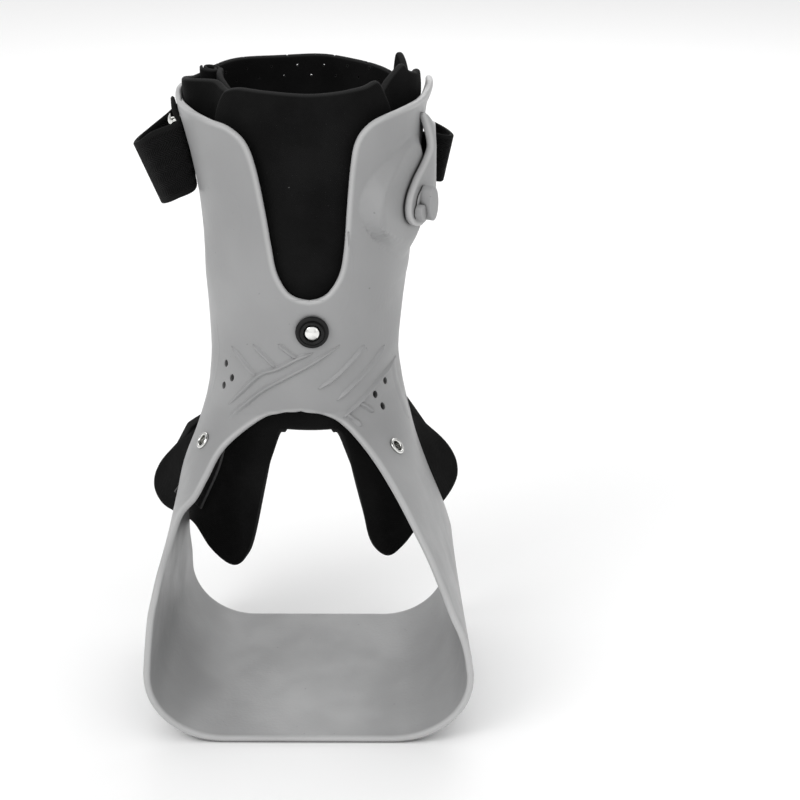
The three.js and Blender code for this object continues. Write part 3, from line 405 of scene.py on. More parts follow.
def sole_curves(table, count=24):
    """The sole: a flat strip, then a quarter ellipse up to the first row of the side wall."""
    side = np.sign(table[0, 0])
    turn = np.linspace(0, np.pi / 2, count + 1)[:-1]
    s, c = np.sin(turn), 1 - np.cos(turn)
    floor_line = WALL / 2 / HEIGHT
    rows = np.zeros((count, 9))
    rows[:, 0] = side * (FLAT_FRONT + (abs(table[0, 0]) - FLAT_FRONT) * s)
    rows[:, 3] = side * (FLAT_REAR + (abs(table[0, 3]) - FLAT_REAR) * s)
    rows[:, 1], rows[:, 4] = -1, 1
    rows[:, 2] = rows[:, 5] = floor_line + (CORNER_RISE - floor_line) * c
    rows[:, 6] = (rows[:, 0] + rows[:, 3]) / 2
    flat = rows[:1].repeat(5, 0)
    flat[:, [0, 3, 6]] *= np.linspace(0, 0.8, 5)[:, None]
    return row_curves(np.concatenate([flat, rows]))


def bend_grid(curves, radius=1.2):
    """Points along each row at shares t; extra columns stand within the rounded rim, at the
    distances radius times one minus a cosine, turned into shares by the row's end speeds."""
    inset = radius * (1 - np.cos(np.radians([0, 25, 50, 90])))
    start = 3 * np.linalg.norm(curves[:, 1] - curves[:, 0], axis=1)[:, None]
    end = 3 * np.linalg.norm(curves[:, 3] - curves[:, 2], axis=1)[:, None]
    head, tail = inset / start, 1 - inset[::-1] / end
    mid = np.linspace(0, 1, 82)[1:-1]
    t = np.concatenate([head, head[:, -1:] + (tail[:, :1] - head[:, -1:]) * mid, tail], 1)[..., None]
    m = 1 - t
    c = curves[:, None]
    return m ** 3 * c[:, :, 0] + 3 * m * m * t * c[:, :, 1] + 3 * m * t * t * c[:, :, 2] + t ** 3 * c[:, :, 3]


# Rows are read densely near the arch, the notch and the wing tips.
near = np.array([0, 0.02, 0.05, 0.1, 0.16, 0.24, 0.34, 0.46, 0.6, 0.8])
AT = np.unique(np.round(np.concatenate([
    np.linspace(0, 5, 21), np.linspace(5, 12, 64), 12 + near, np.linspace(13, 14, 7),
    15 - near[::-1], 15 + near, np.linspace(16, 26, 86), 27 - near[::-1]]), 4))
left_grid, right_grid = (bend_grid(np.concatenate([sole_curves(table), side_curves(table, AT)]))
                         for table in (LEFT_ROWS, RIGHT_ROWS))
print("shell grids:", left_grid.shape, right_grid.shape)

# %% [markdown]
# ## The lever's raised seat
# On the right wing the shell swells into a smooth pad with a flat top, on which
# the lever turns. Nothing is glued on: the outer skin itself is pushed out to the
# seat's plane. Two outlines round the pad, its foot and its top, are read as
# radius over angle, and between them the push fades from full to nothing.

# %% Push the outer skin out to the seat
SEAT = np.array([0.655 * HALF_WIDTH, 0.478 * HALF_LENGTH, 0.818 * HEIGHT])
SEAT_TURN = np.radians(62)
SEAT_N = np.array([np.sin(SEAT_TURN), -np.cos(SEAT_TURN), 0])
SEAT_A = np.array([np.cos(SEAT_TURN), np.sin(SEAT_TURN), 0])
UP = np.array([0, 0, 1.0])
LEVER_RADIUS = 8.4

# Outlines across the seat, in lever radii: along the plate and up.
PAD_FOOT = np.array([
    [0.30, 2.75], [-0.68, 2.50], [-1.30, 2.20], [-1.90, 1.80], [-2.46, 1.35], [-2.69, 0.99],
    [-2.80, 0.14], [-2.51, -0.65], [-1.95, -1.30], [-1.32, -1.87], [-0.42, -2.41], [0.50, -2.30],
    [1.00, -1.50], [1.20, 0.00], [1.25, 1.20], [1.00, 2.20],
])
PAD_TOP = np.array([
    [0.15, 2.40], [-0.60, 2.26], [-0.83, 2.19], [-1.12, 1.92], [-1.62, 1.46], [-2.12, 0.89],
    [-2.37, 0.07], [-2.21, -0.69], [-1.60, -1.08], [-1.08, -1.42], [-0.52, -1.56], [0.15, -1.30],
    [0.50, -0.85], [0.68, 0.00], [0.70, 1.10], [0.55, 1.85],
])


def radius_at(outline, middle, angle):
    """The outline's radius round middle, read at an angle and rounded by a moving mean."""
    d = outline - middle
    a = np.arctan2(d[:, 1], d[:, 0])
    order = np.argsort(a)
    ring = np.linspace(-np.pi, np.pi, 181)
    r = np.interp(ring, a[order], np.hypot(d[:, 0], d[:, 1])[order], period=2 * np.pi)
    soft = sum(np.roll(r[:-1], k) for k in range(-4, 5)) / 9
    return np.interp(angle, ring[:-1], soft, period=2 * np.pi)


def seat_lift(points, n):
    """Push along the normal up to the seat plane, times a fade from the top outline to the foot."""
    d = points - SEAT
    a, b, h = (d @ SEAT_A) / LEVER_RADIUS, (d @ UP) / LEVER_RADIUS, d @ SEAT_N
    middle = np.array([-0.75, 0.4])
    angle = np.arctan2(b - middle[1], a - middle[0])
    r = np.hypot(a - middle[0], b - middle[1])
    foot, top = radius_at(PAD_FOOT, middle, angle), radius_at(PAD_TOP, middle, angle)
    w = np.clip((foot - r) / (foot - top), 0, 1)
    w = 0.75 * w + 0.25 * w * w * (3 - 2 * w)
    lean = n @ SEAT_N
    push = np.clip(-h / np.maximum(lean, 0.35) - WALL / 2, 0, 5.5)
    return w * push * (lean > 0.2)


shell_points, shell_faces = weld([left_grid, right_grid], [False, True])
shell_skin, shell_walls, shell_rim = walls(shell_points, shell_faces, -WALL / 2, WALL / 2, 1.05, seat_lift)
print("shell triangles:", len(shell_walls))

# %% [markdown]
# ## Holes that really go through
# Vents, eyelets, the valve and the rivet pass the wall. Each is drawn as a plain
# pin across the surface and taken away with a boolean, which leaves a true bore
# with wall thickness in view. To place a pin, the nearest point of the surface is
# found and a tangent plane there gives the depth.

# %% Points on the shell and the holes
shell_n = normals_of(shell_points, shell_faces)


def on_shell(x, z):
    """For places x, z seen from the front: the surface point and normal, by the tangent plane
    of the nearest grid point. A place over 4 mm off the grid snaps to that point."""
    seen = np.flatnonzero(shell_n[:, 1] < -0.12)
    p, n = shell_points[seen], shell_n[seen]
    x, z = np.atleast_1d(x).astype(float), np.atleast_1d(z).astype(float)
    k = np.argmin((p[None, :, 0] - x[:, None]) ** 2 + (p[None, :, 2] - z[:, None]) ** 2, axis=1)
    far = np.hypot(x - p[k, 0], z - p[k, 2]) > 4.0
    x, z = np.where(far, p[k, 0], x), np.where(far, p[k, 2], z)
    y = p[k, 1] - (n[k, 0] * (x - p[k, 0]) + n[k, 2] * (z - p[k, 2])) / n[k, 1]
    return np.column_stack([x, y, z]), n[k]


def frame_at(origin, axis):
    """Origin, outward axis, level direction and steep direction of a spot on a surface."""
    n = axis / np.linalg.norm(axis)
    level = np.cross(UP, n)
    level /= np.linalg.norm(level)
    return origin, n, level, np.cross(n, level)


def front_spot(x, z):
    p, n = on_shell(x * HALF_WIDTH, z * HEIGHT)
    return frame_at(p[0], n[0])


def wing_spot(y, z):
    """The spot of the left wing that shows at y and z from the side."""
    left = np.flatnonzero((shell_n[:, 0] < -0.3) & (shell_points[:, 0] < 0))
    p = shell_points[left]
    k = left[np.argmin((p[:, 1] - y * HALF_LENGTH) ** 2 + (p[:, 2] - z * HEIGHT) ** 2)]
    return frame_at(shell_points[k], shell_n[k])


def leaned(spot, angle):
    """The same spot with its level and steep directions turned about the axis, in degrees."""
    origin, n, level, steep = spot
    c, k = np.cos(np.radians(angle)), np.sin(np.radians(angle))
    return origin, n, c * level + k * steep, c * steep - k * level


def revolve(spot, profile, steps=48, wide=1.0, tall=1.0):
    """A closed turned body: radius and height pairs go round the spot's axis; both ends close on it."""
    origin, n, level, steep = spot
    profile = np.asarray(profile, float)
    a = np.linspace(0, 2 * np.pi, steps, endpoint=False)
    ring = wide * np.cos(a)[:, None] * level + tall * np.sin(a)[:, None] * steep
    side = origin + profile[:, None, :1] * ring + profile[:, None, 1:] * n
    points = np.concatenate([side.reshape(-1, 3), [origin + profile[0, 1] * n, origin + profile[-1, 1] * n]])
    k = np.arange(steps)
    nxt = (k + 1) % steps
    rows = np.arange(len(profile) - 1)[:, None] * steps
    a0, a1 = (rows + k).ravel(), (rows + nxt).ravel()
    low, high = len(points) - 2, len(points) - 1
    last = (len(profile) - 1) * steps
    faces = np.concatenate([
        np.stack([a0, a1, a1 + steps], 1), np.stack([a0, a1 + steps, a0 + steps], 1),
        np.stack([nxt, k, np.full(steps, low)], 1),
        np.stack([last + k, last + nxt, np.full(steps, high)], 1)])
    return points, faces


def pin(spot, radius, low=-4, high=4, steps=24, wide=1.0, tall=1.0):
    """A plain cutting pin along the axis of a spot."""
    return revolve(spot, [(radius, low), (radius, high)], steps, wide, tall)


VENTS = [(-0.517, 0.551), (-0.481, 0.530), (-0.537, 0.511), (0.450, 0.517), (0.391, 0.501), (0.438, 0.476)]
VENT_LEAN = 24             # the oval vents lean outward by this angle
valve = front_spot(0.022, 0.629)
eyelet_spots = {"eyelet_left": front_spot(-0.676, 0.413), "eyelet_right": front_spot(0.525, 0.412)}
rivet_spot = wing_spot(0.826, 0.936)
seat_spot = (SEAT, SEAT_N, SEAT_A, UP)
pins = [pin(leaned(front_spot(x, z), VENT_LEAN * np.sign(x)), 1, wide=1.05, tall=1.5) for x, z in VENTS]
pins += [pin(valve, 4.1, steps=48), pin(rivet_spot, 1.9)]
pins += [pin(spot, 2.2) for spot in eyelet_spots.values()]
pins += [pin(seat_spot, 2.7, low=-9, steps=32)]
print("holes:", len(pins))

# %% Cut the holes out of the shell
def cut(thing, bodies):
    """Takes closed bodies away from a piece, one boolean for all of them. The piece keeps plain
    mesh data, shaded smooth except over edges sharper than 50 degrees."""
    tool = make_mesh("cutter", *merge(bodies))
    step = thing.modifiers.new("holes", "BOOLEAN")
    step.operation, step.solver, step.object = "DIFFERENCE", "EXACT", tool
    done = bpy.data.meshes.new_from_object(thing.evaluated_get(bpy.context.evaluated_depsgraph_get()))
    thing.modifiers.clear()
    old, name = thing.data, thing.data.name
    thing.data = done
    bpy.data.objects.remove(tool)
    bpy.data.meshes.remove(old)
    done.name = name
    done.polygons.foreach_set("use_smooth", np.ones(len(done.polygons), bool))
    done.set_sharp_from_angle(angle=np.radians(50))


shell = finish_piece("shell_wall", (shell_skin, shell_walls), "frame_shell", rim=shell_rim)
cut(shell, pins)
print("shell faces after the holes:", len(shell.data.polygons))

# %% [markdown]
# ## Raised lines of the bridge
# The moulder cut shallow grooves into the tool, so the bridge carries fine raised
# lines that cross like lacing. Each is a low ridge with a rounded back: a grid
# along the line and across it, whose height follows a squared cosine, tapering at
# both ends. Its feet sink just under the skin, so it reads as one casting.

# %% Ridges that follow the shell
def closed(top, bottom):
    """Two grids of one shape, an upper and a lower skin, joined round their border."""
    rows, cols = top.shape[:2]
    ring = np.concatenate([np.arange(cols), np.arange(1, rows) * cols + cols - 1,
                           (rows - 1) * cols + np.arange(cols - 2, -1, -1),
                           np.arange(rows - 2, 0, -1) * cols])
    a, b = ring, np.roll(ring, -1)
    n = rows * cols
    flat = np.concatenate([top.reshape(-1, top.shape[-1]), bottom.reshape(-1, top.shape[-1])])
    band = np.concatenate([np.stack([b, a, a + n], 1), np.stack([b, a + n, b + n], 1)])
    every = np.concatenate([grid_faces(rows, cols), grid_faces(rows, cols, True) + n, band])
    return flat, every


def ridge(line, width, height):
    """A ridge along x, z shares: across it the height is height times cosine squared."""
    line = np.asarray(line, float) * [HALF_WIDTH, HEIGHT]
    length = np.linalg.norm(np.diff(line, axis=0), axis=1).sum()
    s = np.linspace(0, len(line) - 1, max(int(length / 0.7), 8))
    path = through(line, s)
    along = np.gradient(path, axis=0)
    along /= np.linalg.norm(along, axis=1)[:, None]
    side = np.column_stack([along[:, 1], -along[:, 0]])
    taper = np.minimum(1, np.minimum(s, s[-1] - s) / s[-1] * 6 + 0.08) ** 0.6
    w = np.linspace(-1, 1, 9)
    place = path[:, None] + side[:, None] * (w[None, :, None] * width / 2 * taper[:, None, None])
    p, n = on_shell(place[..., 0].ravel(), place[..., 1].ravel())
    up_by = (WALL / 2 - 0.04 + height * taper[:, None] * np.cos(w * np.pi / 2) ** 2).ravel()[:, None]
    top = (p + n * up_by).reshape(*place.shape[:2], 3)
    bottom = (p + n * (WALL / 2 - 0.35)).reshape(*place.shape[:2], 3)
    body, faces = closed(top, bottom)
    return body, faces[:, ::-1]


LINES = [
    [[-0.507, 0.482], [-0.311, 0.545], [-0.194, 0.562], [-0.068, 0.582], [0.024, 0.592]],
    [[-0.502, 0.459], [-0.437, 0.480], [-0.292, 0.520], [-0.143, 0.548], [0.013, 0.573], [0.182, 0.602]],
    [[-0.477, 0.585], [-0.322, 0.543]],
    [[-0.338, 0.599], [-0.200, 0.564]],
    [[-0.185, 0.605], [-0.070, 0.582]],
    [[0.329, 0.594], [0.267, 0.576], [0.165, 0.549], [0.052, 0.528]],
    [[0.446, 0.581], [0.389, 0.561], [0.266, 0.530], [0.162, 0.505]],
    [[0.512, 0.545], [0.350, 0.508], [0.203, 0.473]],
    [[0.290, 0.497], [0.383, 0.472]],
    [[0.218, 0.480], [0.311, 0.454]],
]
# Finer marks with width and height: a bead on the right arm, a step on the left, a crease,
# a scuff and a soft arc.
FINE_LINES = [
    ([[0.500, 0.548], [0.508, 0.518], [0.531, 0.489], [0.566, 0.459], [0.600, 0.430]], 1.8, 0.3),
    ([[-0.585, 0.630], [-0.570, 0.589], [-0.566, 0.563], [-0.600, 0.513], [-0.640, 0.472]], 1.2, 0.15),
    ([[0.243, 0.793], [0.265, 0.745], [0.251, 0.695], [0.213, 0.659], [0.163, 0.629]], 1.6, 0.10),
    ([[0.431, 0.903], [0.520, 0.922], [0.611, 0.938]], 0.5, 0.10),
    ([[-0.479, 0.864], [-0.406, 0.831], [-0.391, 0.799], [-0.428, 0.763]], 1.2, 0.08),
]
# The mark of the mould's gate, a flat ring round a dimple: radius and height pairs.
GATE_PROFILE = [(0.95, -0.3), (0.95, 0.06), (0.8, 0.15), (0.6, 0.15), (0.5, 0.03), (0.2, 0.03)]
ridges = [ridge(line, 2.2, 1.1) for line in LINES] + [ridge(*line) for line in FINE_LINES]
ridges.append(revolve(front_spot(-0.107, 0.503), GATE_PROFILE, 24))
finish_piece("shell_lines", merge(ridges), None, rim=2.0)
print("raised lines:", len(ridges))

# %% [markdown]
# ## The turned fittings
# A black rubber collar with a bright plug closes the air valve, two rolled
# eyelets sit on the arms, and a domed rivet holds the strap. All are bodies of
# revolution: a profile of radius and height pairs, carried round the normal of
# the shell. The small steps in each profile are what catches the light.

# %% Collar, plug, eyelets and rivet
def arc(radius, height, r, a0, a1, count=7):
    """Points of an arc of radius r round a profile point, from angle a0 to a1 in degrees."""
    a = np.radians(np.linspace(a0, a1, count))
    return list(zip(radius + r * np.cos(a), height + r * np.sin(a)))


face = WALL / 2 + 0.3      # a fitting lies this far from the middle of the wall
collar_profile = ([(2.9, -1.4), (3.8, -1.4), (3.8, face)] + [(5.1, face)] + arc(5.1, face + 0.6, 0.6, -90, 80)
                  + [(4.5, face + 1.25), (4.4, face + 1.0), (4.15, face + 1.0), (4.05, face + 1.35)]
                  + arc(3.6, face + 1.75, 0.45, 0, 110) + [(3.1, face + 2.0), (2.9, face + 1.6)])


def ring_body(spot, profile, steps=64):
    """A turned ring: the profile is a closed loop that never meets the axis."""
    origin, n, level, steep = spot
    profile = np.asarray(profile, float)
    a = np.linspace(0, 2 * np.pi, steps, endpoint=False)
    ring = np.cos(a)[:, None] * level + np.sin(a)[:, None] * steep
    points = (origin + profile[:, None, :1] * ring + profile[:, None, 1:] * n).reshape(-1, 3)
    i, k = np.meshgrid(np.arange(len(profile)), np.arange(steps), indexing="ij")
    a0, a1 = (i * steps + k).ravel(), (i * steps + (k + 1) % steps).ravel()
    j = (i + 1) % len(profile)
    b0, b1 = (j * steps + k).ravel(), (j * steps + (k + 1) % steps).ravel()
    return points, np.concatenate([np.stack([a0, a1, b1], 1), np.stack([a0, b1, b0], 1)])


finish_piece("collar_ring", ring_body(valve, collar_profile), "valve_collar", 40)
plug_profile = [(2.6, -1.6), (2.6, face + 1.3)] + arc(2.0, face + 1.35, 0.6, 0, 60) + [
    (1.6, face + 2.15), (1.0, face + 2.4), (0.4, face + 2.5)]
finish_piece("valve_plug", revolve(valve, plug_profile), "valve_core", 40)
ring_profile = (arc(2.5, face + 0.05, 0.62, -60, 200, 15) + [(1.8, face - 0.6), (1.75, -face)]
                + arc(2.4, -face - 0.1, 0.5, 160, 300, 9) + [(2.08, -face + 0.1), (2.08, face - 0.1)])
for name, spot in eyelet_spots.items():
    finish_piece(name + "_ring", ring_body(spot, ring_profile, 48), name, 40)
rivet_top = face + 1.5 + 0.6 + 0.7
rivet_profile = [(2.8, -face - 0.6), (2.8, -face), (1.6, -face), (1.6, rivet_top), (3.1, rivet_top)] + arc(
    0, rivet_top - 2.2, 3.8, 36, 84, 8)
finish_piece("rivet_head", revolve(rivet_spot, rivet_profile), "strap_rivet", 35)
print("fittings ready")

# %% [markdown]
# ## The swivelling lever
# The lever is a flat plate of the shell's plastic. Round the button it is a disc;
# behind, it widens, bends back along the side of the leg and ends in a slotted
# plate that carries the strap. Its outline is a table of front and rear edges
# over height. The bend is an arc of a cylinder: past its start, distance along
# the plate becomes an angle. The upper end is tucked in a little towards the wing.

# %% Lever plate
LEVER_EDGES = np.array([
    [-1.00, -0.02, 0.02],
    [-0.87, -0.52, 0.52],
    [-0.63, -0.85, 1.08],
    [-0.43, -0.99, 2.60],
    [-0.12, -1.06, 3.90],
    [0.18, -1.02, 4.22],
    [0.43, -0.91, 4.27],
    [0.73, -0.67, 4.27],
    [1.10, -0.29, 4.27],
    [1.42, 0.16, 4.27],
    [1.72, 0.53, 4.27],
    [2.04, 0.82, 4.24],
    [2.32, 0.85, 4.05],
    [2.52, 0.83, 3.10],
    [2.80, 0.80, 1.90],
    [3.10, 0.76, 1.28],
    [3.45, 0.70, 0.96],
])
BEND_START, BEND_RADIUS, BEND_TURN = 0.80, 1.30, np.radians(28)
SLOT_AT, SLOT_MID = 3.62, 1.06
GAP, PLATE = 0.3, 2.6      # air under the plate and its thickness, in mm
TUCK = 2.5                 # how far the upper end is tucked in, in mm


def lever_point(u, v, h=0.0):
    """A point of the plate: u along it and v up, in lever radii; h outward in mm.
    Straight to the bend, then an arc, then straight in the turned direction."""
    bend = np.clip((u - BEND_START) / BEND_RADIUS, 0, BEND_TURN)
    rest = np.maximum(u - BEND_START - BEND_RADIUS * BEND_TURN, 0)
    a = SEAT_TURN + bend
    along = np.stack([np.cos(a), np.sin(a), 0 * a], -1)
    out = np.stack([np.sin(a), -np.cos(a), 0 * a], -1)
    p = SEAT + SEAT_A * (np.minimum(u, BEND_START)[..., None] * LEVER_RADIUS)
    p = p - SEAT_N * (BEND_RADIUS * LEVER_RADIUS) + out * (BEND_RADIUS * LEVER_RADIUS)
    p = p + along * (rest[..., None] * LEVER_RADIUS) + UP * (v[..., None] * LEVER_RADIUS)
    return p + out * np.asarray(h)[..., None]


rows = through(LEVER_EDGES, np.unique(np.concatenate([
    np.array([0, 0.04, 0.12, 0.25, 0.5]), np.linspace(0.75, 15.2, 90),
    16 - np.array([0.5, 0.25, 0.1, 0.03, 0])])))
cols = np.concatenate([[0, 0.006, 0.02, 0.045], np.linspace(0.08, 0.92, 40), [0.955, 0.98, 0.994, 1]])
u = rows[:, 1:2] + (rows[:, 2:3] - rows[:, 1:2]) * cols
tuck = -TUCK * np.clip((rows[:, :1] - 1.9) / 1.4, 0, 1) ** 2
plate_grid = lever_point(u, np.broadcast_to(rows[:, :1], u.shape), np.broadcast_to(tuck, u.shape))
plate_points, plate_faces = weld([plate_grid], [True])
plate_skin, plate_walls, plate_rim = walls(plate_points, plate_faces, GAP, GAP + PLATE, 0.9)


def slot_body(half_u, half_v, round_by, steps=48):
    """The slot's cutter: a rounded rectangle on the plate, carried from inside to outside."""
    a = np.linspace(0, 2 * np.pi, steps, endpoint=False)
    x = np.sign(np.cos(a)) * (half_u - round_by) + round_by * np.cos(a)
    y = np.sign(np.sin(a)) * (half_v - round_by) + round_by * np.sin(a)
    uu, vv = SLOT_AT + x / LEVER_RADIUS, SLOT_MID + y / LEVER_RADIUS
    low, high = (lever_point(uu, vv, np.full(steps, h)) for h in (-2.0, 6.0))
    points = np.concatenate([low, high, [low.mean(0)], [high.mean(0)]])
    k = np.arange(steps)
    n = (k + 1) % steps
    return points, np.concatenate([
        np.stack([k, n, n + steps], 1), np.stack([k, n + steps, k + steps], 1),
        np.stack([n, k, np.full(steps, 2 * steps)], 1),
        np.stack([k + steps, n + steps, np.full(steps, 2 * steps + 1)], 1)])


lever = finish_piece("lever_plate", (plate_skin, plate_walls), "strap_lever", rim=plate_rim)
cut(lever, [slot_body(2.1, 10.5, 1.2), pin(seat_spot, 2.7, low=-1, high=5, steps=32)])
print("lever faces:", len(lever.data.polygons))

# %% [markdown]
# ## The lever's button
# The button is three turned bodies in one piece: a shank with a low disc that
# holds the plate down, a tall oval knob on it, and a small lug beside the knob.

# %% Button
base = GAP + PLATE + GAP
disc_profile = ([(2.4, -4.1), (2.4, base), (4.8, base)] + arc(4.6, base + 0.2, 0.3, -80, 85, 5)
                + [(2.0, base + 0.5)])
knob_profile = ([(3.3, base + 0.2), (3.3, base + 3.6)] + arc(2.8, base + 3.9, 0.5, 0, 85, 6)
                + [(1.0, base + 4.4)])
lug_profile = [(1.8, base)] + arc(1.4, base + 2.2, 0.4, 0, 85, 5) + [(0.4, base + 2.6)]
lug_spot = (SEAT - 4.1 * SEAT_A - 2.4 * UP, SEAT_N, SEAT_A, UP)
button_parts = [revolve(seat_spot, disc_profile, 64),
                revolve(seat_spot, knob_profile, 64, wide=0.92, tall=1.8),
                revolve(lug_spot, lug_profile, 32, wide=1.15, tall=1.5)]
finish_piece("button_cap", merge(button_parts), "lever_button", 40)
print("button bodies:", len(button_parts))

# %% [markdown]
# ## Round the leg
# The liner is a tube of black foam cloth. Its section changes with height: narrow
# at the ankle, wider at the calf, and a little fuller on the left. The function
# below takes a turn from the front, as a share of half a round, and a height, and
# gives the point on the tube. Everything soft in the brace is drawn on it.

# %% The tube the soft pieces are drawn on
# Columns: height share, left and right half widths, front, middle and rear depths.
LEVELS = np.array([
    [0.448, 0.618, 0.535, 0.122, 0.760, 1.480],
    [0.500, 0.587, 0.489, 0.122, 0.770, 1.480],
    [0.552, 0.571, 0.458, 0.122, 0.783, 1.500],
    [0.624, 0.578, 0.489, 0.122, 0.800, 1.520],
    [0.690, 0.593, 0.520, 0.122, 0.826, 1.550],
    [0.776, 0.600, 0.556, 0.126, 0.870, 1.600],
    [0.881, 0.650, 0.600, 0.130, 0.930, 1.660],
    [0.952, 0.695, 0.625, 0.135, 0.980, 1.690],
    [1.040, 0.700, 0.625, 0.140, 1.000, 1.700],
])
LEVELS_FINE = through(LEVELS, np.linspace(0, len(LEVELS) - 1, 97))


def round_leg(side, t, z, spread):
    """Half an ellipse: x is the half width times sine, y leaves the middle by reach times cosine.
    The reach differs before and behind the middle; spread moves the point outward in mm."""
    left, right, front, mid, rear = (np.interp(z, LEVELS_FINE[:, 0], LEVELS_FINE[:, k]) for k in range(1, 6))
    a = t * np.pi
    half = np.where(side < 0, left, right) * HALF_WIDTH + spread
    reach = np.where(t < 0.5, mid - front, rear - mid) * HALF_LENGTH + spread
    return np.stack([side * half * np.sin(a), mid * HALF_LENGTH - reach * np.cos(a), z * HEIGHT], -1)


def soft_step(x, low, high):
    """Smooth change from 0 at low to 1 at high."""
    t = np.clip((x - low) / (high - low), 0, 1)
    return t * t * (3 - 2 * t)


def edged(start, end, count, rim=0.012):
    """Even steps from start to end with three extra steps inside each rim."""
    e = np.array([0, 0.12, 0.4, 0.75]) * rim
    return start + (end - start) * np.concatenate([e, np.linspace(rim, 1 - rim, count), 1 - e[::-1]])


FOOT = LEVELS[0, 0]
REAR_TURN = 0.68           # where the liner and its wings end behind
HALF_ROUND = 115           # cloth length of half a round, in mm
print("tube levels:", len(LEVELS))

# %% [markdown]
# ## The liner's main sheet
# The liner is cut as one sheet: a panel round the shin with two long lobes below.
# Above, it is a grid of signed turn and height up to a top line that is almost
# level in front. Below, each column leaves the tube straight down and swings out
# to its own end on a Bezier curve; the inner columns end early, and their ends
# make the slanted edges of the gap between the lobes. The two grids share their
# middle row, so welding leaves no seam.

# %% Sheets of foam cloth
def top_line(points, turns):
    """A smooth line through a few turn and height pairs, read at the turns."""
    points = np.asarray(points, float)
    fine = through(points, np.linspace(0, len(points) - 1, 160))
    return np.interp(turns, fine[:, 0], fine[:, 1])


def soft_piece(name, grids, flips, node, half, radius):
    """Welded grids get a foam wall with rounded rims and keep their cloth coordinates."""
    points, faces = weld(grids, flips)
    p = points[:, :3]
    skin, every, rim = walls(p, faces, -half, half, radius)
    cloth = np.concatenate([points[:, 3:5]] * 2)
    thing = finish_piece(name, (skin, every), node, rim=rim, uv=cloth)
    tri = p[faces]
    area = np.linalg.norm(np.cross(tri[:, 1] - tri[:, 0], tri[:, 2] - tri[:, 0]), axis=1).sum() / 2 * MM * MM
    print(name, "area", round(area * 1e4, 1), "cm2, triangles", len(every))
    return thing, area


def with_cloth(p, u, v):
    """Adds cloth coordinates in mm to a grid of points."""
    u, v = np.broadcast_to(u, p.shape[:2]), np.broadcast_to(v, p.shape[:2])
    return np.concatenate([p, u[..., None], v[..., None]], -1)


def ripple(t, z):
    """Low waves a few centimetres long that keep foam cloth from looking like sheet metal."""
    long_waves = np.sin(9 * t + 14 * z) * np.sin(17 * z - 3 * t + 1)
    return long_waves + 0.5 * np.sin(31 * t + 6 * z) * np.sin(27 * z + 5 * t)


def tube_grid(turns, top, foot, count, spread, skip_foot=False):
    """Signed turns by heights from foot to top; spread is a function of turn and height."""
    s = edged(0, 1, count)
    if skip_foot:
        s = np.concatenate([[0], s[4:]])
    z = foot + (top - foot) * s[:, None]
    t = np.broadcast_to(turns, z.shape)
    p = round_leg(np.where(t < 0, -1.0, 1.0), np.abs(t), z, spread(t, z))
    return with_cloth(p, t * HALF_ROUND, z * HEIGHT)


# Columns: turn, lobe end x, y, z shares. The first row rounds the corner of the gap.
LEFT_LOBE = np.array([
    [0.078, -0.166, 0.165, 0.447],
    [0.105, -0.214, 0.185, 0.436],
    [0.140, -0.300, 0.262, 0.340],
    [0.180, -0.389, 0.370, 0.227],
    [0.215, -0.448, 0.413, 0.187],
    [0.255, -0.540, 0.435, 0.168],
    [0.290, -0.685, 0.600, 0.180],
    [0.325, -0.823, 0.880, 0.202],
    [0.380, -0.961, 1.050, 0.207],
    [0.440, -1.057, 1.090, 0.221],
    [0.500, -1.112, 1.130, 0.250],
    [0.560, -1.088, 1.130, 0.285],
    [0.620, -0.970, 1.100, 0.325],
    [0.680, -0.863, 1.040, 0.375],
])
RIGHT_LOBE = np.array([
    [0.078, 0.158, 0.165, 0.447],
    [0.105, 0.202, 0.185, 0.434],
    [0.135, 0.258, 0.260, 0.362],
    [0.170, 0.321, 0.348, 0.277],
    [0.200, 0.368, 0.400, 0.217],
    [0.235, 0.471, 0.435, 0.186],
    [0.275, 0.568, 0.565, 0.191],
    [0.320, 0.660, 0.740, 0.206],
    [0.371, 0.811, 1.000, 0.224],
    [0.440, 0.900, 1.070, 0.251],
    [0.500, 0.944, 1.100, 0.282],
    [0.560, 0.908, 1.100, 0.320],
    [0.620, 0.745, 1.060, 0.370],
    [0.680, 0.590, 1.000, 0.431],
])
LOBES = {-1: LEFT_LOBE, 1: RIGHT_LOBE}


def lobe_grid(side, turns, count):
    """Cubic Bezier for each column from the tube's foot, straight down first, to the lobe's end."""
    table = LOBES[side]
    at = np.interp(turns, table[:, 0], np.arange(len(table)))
    end = through(table[:, 1:], at) * SCALE
    foot = round_leg(side, turns, np.full(turns.shape, FOOT), 0.0)
    fade = soft_step(turns, INNER, INNER + 0.04)[:, None]
    end = foot + (end - foot) * np.concatenate([fade ** 2, fade ** 2, 0.05 + 0.95 * fade], 1)
    drop = (foot[:, 2] - end[:, 2])[:, None]
    c1, c2 = foot - UP * 0.4 * drop, foot + (end - foot) * 0.62
    v = 1 - edged(0, 1, count)[:, None, None]
    v = np.concatenate([v[:-4], [[[0.0]]]])
    m = 1 - v
    p = m ** 3 * foot + 3 * m * m * v * c1 + 3 * m * v * v * c2 + v ** 3 * end
    run = FOOT * HEIGHT - v[..., 0] * np.linalg.norm(end - foot, axis=1)
    curl = 0.5 * np.sin(p[..., 2] / 7 + 5 * turns) * v[..., 0]
    p = p + np.stack([0 * curl, curl, 0 * curl], -1)
    return with_cloth(p, side * turns * HALF_ROUND, run)


